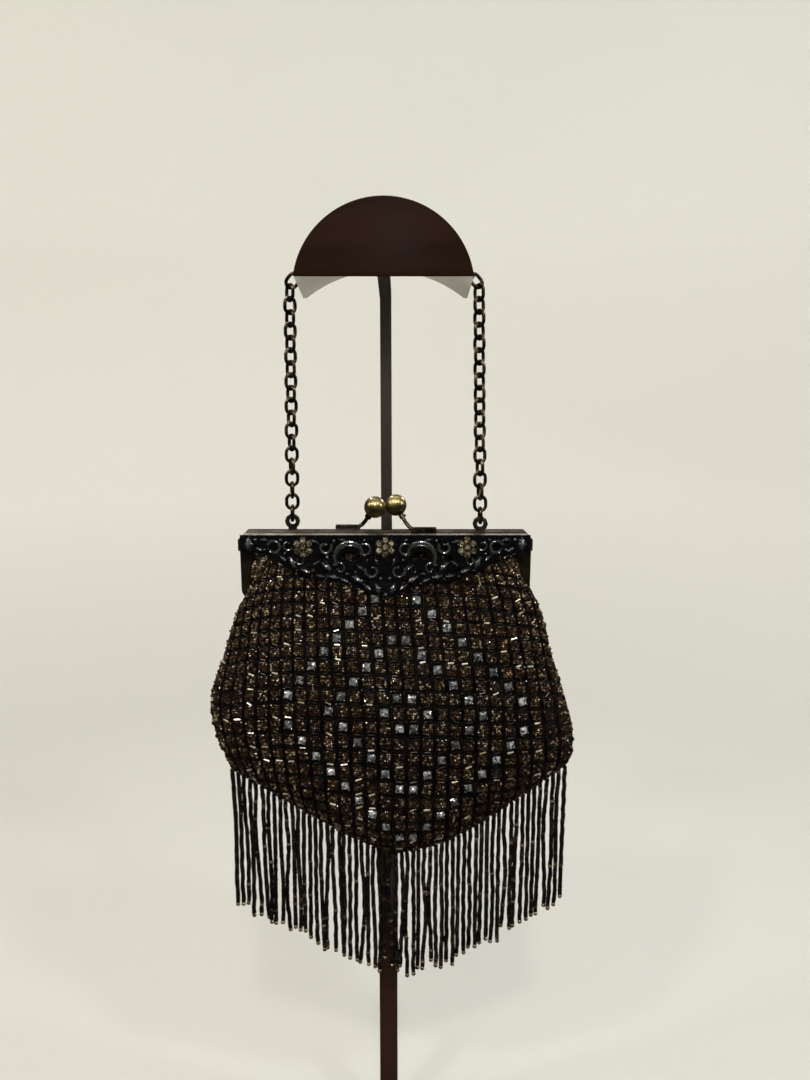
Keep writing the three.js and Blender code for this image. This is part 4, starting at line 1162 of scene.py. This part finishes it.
# x, z, length, width, turn in degrees, height
leafRows = [
    (71.0, -4.8, 8.6, 6.2, 90, 2.0), (65.4, -7.4, 5.6, 3.2, 25, 1.5), (62.8, -2.6, 5.6, 3.0, 8, 1.4),
    (48.2, -14.2, 9.4, 4.6, 63, 2.0), (53.4, -12.0, 6.6, 3.2, 40, 1.6), (41.8, -18.6, 7.4, 3.8, 23, 1.7),
    (36.2, -14.8, 6.4, 3.0, -30, 1.5), (30.6, -16.4, 8.6, 4.4, 40, 1.9), (34.0, -21.4, 6.6, 3.2, 10, 1.5),
    (27.2, -21.8, 7.8, 3.8, 9, 1.7), (21.4, -23.6, 6.4, 3.2, 24, 1.5), (14.6, -23.0, 8.6, 4.2, 29, 1.9),
    (9.4, -27.2, 7.0, 3.4, 38, 1.6), (4.0, -28.0, 8.2, 4.4, 66, 1.9), (4.6, -13.6, 6.6, 3.4, 70, 1.6),
    (26.4, -11.0, 6.2, 3.0, 74, 1.5), (13.0, -17.0, 6.6, 3.2, 35, 1.6), (36.6, -3.4, 5.4, 2.8, 20, 1.4),
    (40.2, -10.4, 5.6, 2.8, -20, 1.5), (22.4, -2.6, 5.2, 2.6, 8, 1.4), (30.2, -11.4, 5.4, 2.6, 60, 1.4),
    (19.8, -20.2, 5.6, 2.6, 10, 1.4), (55.6, -9.8, 4.8, 2.4, -25, 1.3), (66.6, -10.0, 4.6, 2.2, 15, 1.2)]
# x, z, outer and inner radius, start and sweep in degrees, wire
scrollRows = [
    (57.7, -6.1, 3.1, 3.1, 0, 360, 0.85), (31.2, -6.2, 4.0, 1.3, 150, 320, 0.85),
    (18.3, -11.4, 8.6, 7.6, -34, 212, 0.75), (18.3, -11.6, 6.9, 6.1, -28, 196, 0.6),
    (10.6, -7.4, 2.9, 2.9, 0, 360, 0.75), (6.6, -18.4, 4.3, 1.4, 20, -290, 0.8),
    (50.6, -5.2, 3.0, 1.1, 200, 290, 0.65), (23.6, -17.4, 3.2, 1.1, 60, 280, 0.65),
    (44.6, -13.4, 2.6, 1.0, 120, 280, 0.6)]
# x, z, radius
berryRows = [
    (67.4, -2.4, 1.1), (62.6, -7.6, 1.0), (54.2, -2.6, 1.0), (52.2, -9.6, 1.0), (46.0, -18.6, 0.9),
    (38.2, -21.6, 0.9), (26.6, -3.0, 1.0), (26.4, -15.6, 1.0), (15.4, -19.4, 1.0), (9.4, -13.2, 1.0),
    (2.4, -22.8, 1.1), (0.0, -31.2, 1.4), (18.4, -25.4, 0.9), (30.8, -23.0, 0.9), (10.8, -2.8, 0.9)]
leaf = {"along": 11, "across": 7, "blunt": 0.03, "fullness": 0.75, "stemWide": 1.12, "taper": 0.3,
        "leastWide": 0.02, "tooth": 0.13, "teeth": 5.5, "bow": 0.6, "droop": 0.75, "vein": 0.3,
        "veinWide": 0.2, "rib": 0.12, "ribs": 7, "ribSlant": 2.2, "rimSunk": 0.4, "base": 0.3}
scroll = {"leastSteps": 14, "stepTurn": 14, "base": 0.35, "bow": 0.5, "thinWire": 0.55, "fullWire": 0.45,
          "thickFrom": 0.12, "thickOver": 0.8, "sides": 8, "eye": 1.25}
berrySunk = 0.4


def leafShape(x, z, length, width, turn, height, mirror):
    t, a = np.meshgrid(np.linspace(0, 1, leaf["along"]), np.linspace(-1, 1, leaf["across"]), indexing="ij")
    fromStem = np.minimum(1.0, t * (1 - leaf["blunt"]) + leaf["blunt"])
    outline = np.sin(math.pi * fromStem) ** leaf["fullness"] * (leaf["stemWide"] - leaf["taper"] * t)
    toothed = 1 + leaf["tooth"] * np.sin(leaf["teeth"] * math.pi * t)
    vein = leaf["vein"] * np.exp(-(a / leaf["veinWide"]) ** 2)
    vein = vein + leaf["rib"] * np.cos(leaf["ribs"] * math.pi * t + leaf["ribSlant"] * np.abs(a))
    rise = (height * (1 - leaf["droop"] * a * a) + vein) * np.sin(math.pi * t) ** leaf["bow"]
    rise[[0, -1], :] = -leaf["rimSunk"]
    rise[:, [0, -1]] = -leaf["rimSunk"]
    along = (length * (t - 0.5)).ravel()
    aside = (width / 2 * a * np.maximum(outline, leaf["leastWide"]) * toothed).ravel()
    c, s = math.cos(math.radians(turn)), math.sin(math.radians(turn))
    y = -ornament["plate"] + leaf["base"] - rise.ravel()
    points = np.column_stack([mirror * (x + along * c - aside * s), y, z + along * s + aside * c])
    quads, ring = gridFaces(leaf["along"], leaf["across"])
    faces = [quads, ring[None, :]]
    return points, faces if mirror > 0 else [f[:, ::-1] for f in faces]


def scrollShape(x, z, outer, inner, start, sweepTurn, wire, mirror):
    t = np.linspace(0, 1, max(scroll["leastSteps"], int(abs(sweepTurn) / scroll["stepTurn"])))
    angle = np.radians(start + sweepTurn * t)
    radius = outer + (inner - outer) * t
    rise = -ornament["plate"] - scroll["base"] - scroll["bow"] * np.sin(math.pi * t)
    path = np.column_stack([mirror * (x + radius * np.cos(angle)), rise, z + radius * np.sin(angle)])
    swell = np.sin(math.pi * (scroll["thickFrom"] + scroll["thickOver"] * t))
    shape = sweep(path, wire * (scroll["thinWire"] + scroll["fullWire"] * swell), scroll["sides"], (0, -1, 0))
    if inner < outer:
        eyePoints, faces = ball()
        shape = joined([shape, (eyePoints * wire * scroll["eye"] + path[-1], faces)])
    return shape


def makeOrnament():
    bm = cleanForm(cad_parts["ornament"].data)
    bmesh.ops.triangulate(bm, faces=[f for f in bm.faces if len(f.verts) > 4])
    platePoints, plateFaces = fromBmesh(bm)
    berry, berryFaces = ball()
    shapes = []
    for mirror in (1, -1):
        shapes += [leafShape(*row, mirror) for row in leafRows]
        shapes += [scrollShape(*row, mirror) for row in scrollRows]
        shapes += [(berry * radius + [mirror * x, -ornament["plate"] - berrySunk, z], berryFaces)
                   for x, z, radius in berryRows]
    shape = joined([(platePoints / mm, plateFaces), moved(joined(shapes), ornamentPlace)])
    proud = -moved(shape, ornamentPlace.inverted())[0][:, 1] - ornament["plate"]
    # what stands out is painted bright: partly rubbed wear, partly a painted highlight
    wearAndHighlight = np.clip((proud - ornament["wearAndHighlightFrom"]) / ornament["relief"], 0, 1)
    mesh = meshOf("ornamentCasting", shape, True, ornament["sharpAngle"], wearAndHighlight)
    addPiece("ornamentCasting", mesh, [blackCasting], ("ornament",))


makeOrnament()

# flowers: a stone in the middle and six petals around it, each in a cup with four claws
flower = {"spacing": 42.6, "z": -7.2, "ringRadius": 3.65, "petals": 6, "cup": 1.95, "stone": 1.4,
          "middleStone": 1.45, "middleCup": 2.0, "middleRaised": 0.5, "setting": 1.7, "seat": 0.72,
          "base": 0.3,
          "cupSides": 14, "cupProfile": ((0.0, 1.0), (0.55, 1.0), (0.8, 0.93), (0.8, 0.8), (0.62, 0.74)),
          "stoneSides": 8, "stoneProfile": ((-0.5, 0.9), (0.0, 1.0), (0.55, 0.82), (1.0, 0.52)),
          "claws": 4, "claw": 0.3, "clawReach": 0.98, "clawRise": 0.55, "sharpAngle": 40,
          "tones": (0.05, 0.42)}


def flowerShapes():
    metal, gems = [], []
    cup, cupFaces = barrel(flower["cupSides"], flower["cupProfile"])
    stone, stoneFaces = barrel(flower["stoneSides"], flower["stoneProfile"])
    claw, clawFaces = cutBall(2)
    spots = [(0.0, 0.0, flower["middleCup"], flower["middleStone"], flower["middleRaised"])]
    for a in 2 * math.pi * np.arange(flower["petals"]) / flower["petals"]:
        spots.append((flower["ringRadius"] * math.sin(a), flower["ringRadius"] * math.cos(a), flower["cup"],
                      flower["stone"], 0.0))
    turn = np.array([[1, 0, 0], [0, 0, 1], [0, -1, 0]], float)  # local z faces the front
    for x, z, cupRadius, stoneRadius, raised in spots:
        base = np.array([x, -ornament["plate"] - flower["base"], z])
        high = flower["setting"] + raised
        metal.append((cup * [cupRadius, cupRadius, high] @ turn + base, cupFaces))
        seat = base + [0, -high * flower["seat"], 0]
        gems.append((stone * [stoneRadius, stoneRadius, 1.0] @ turn + seat, stoneFaces))
        first = math.pi / 4 + (0 if raised else math.atan2(x, z))
        reach = stoneRadius * flower["clawReach"]
        for a in first + 2 * math.pi * np.arange(flower["claws"]) / flower["claws"]:
            spot = seat + [reach * math.sin(a), -flower["clawRise"], reach * math.cos(a)]
            metal.append((claw * flower["claw"] + spot, clawFaces))
    return joined(metal), joined(gems)


settings, gems = flowerShapes()
for flowerName, place in (("flower_left", -1), ("flower_centre", 0), ("flower_right", 1)):
    seat = ornamentPlace @ Matrix.Translation((place * flower["spacing"], 0, flower["z"] - ornament["topZ"]))
    label = flowerName.split("_")[1].title()
    metalMesh = meshOf("flowerSetting", moved(settings, seat), True, flower["sharpAngle"])
    addPiece("flowerSetting" + label, metalMesh, [clawGold], (flowerName,))
    stoneCount = flower["petals"] + 1
    # painted glints: each flower stone is painted brighter or darker at random
    tones = np.repeat(rng.uniform(*flower["tones"], stoneCount), len(gems[0]) // stoneCount)
    stoneMesh = meshOf("flowerStones", moved(gems, seat), False, None, tones)
    addPiece("flowerStones" + label, stoneMesh, [champagneStone])
print("ornament and flowers ready")

triangles = sum(sum(len(p.vertices) - 2 for p in o.data.polygons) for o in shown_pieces())
print("triangles shown:", triangles)
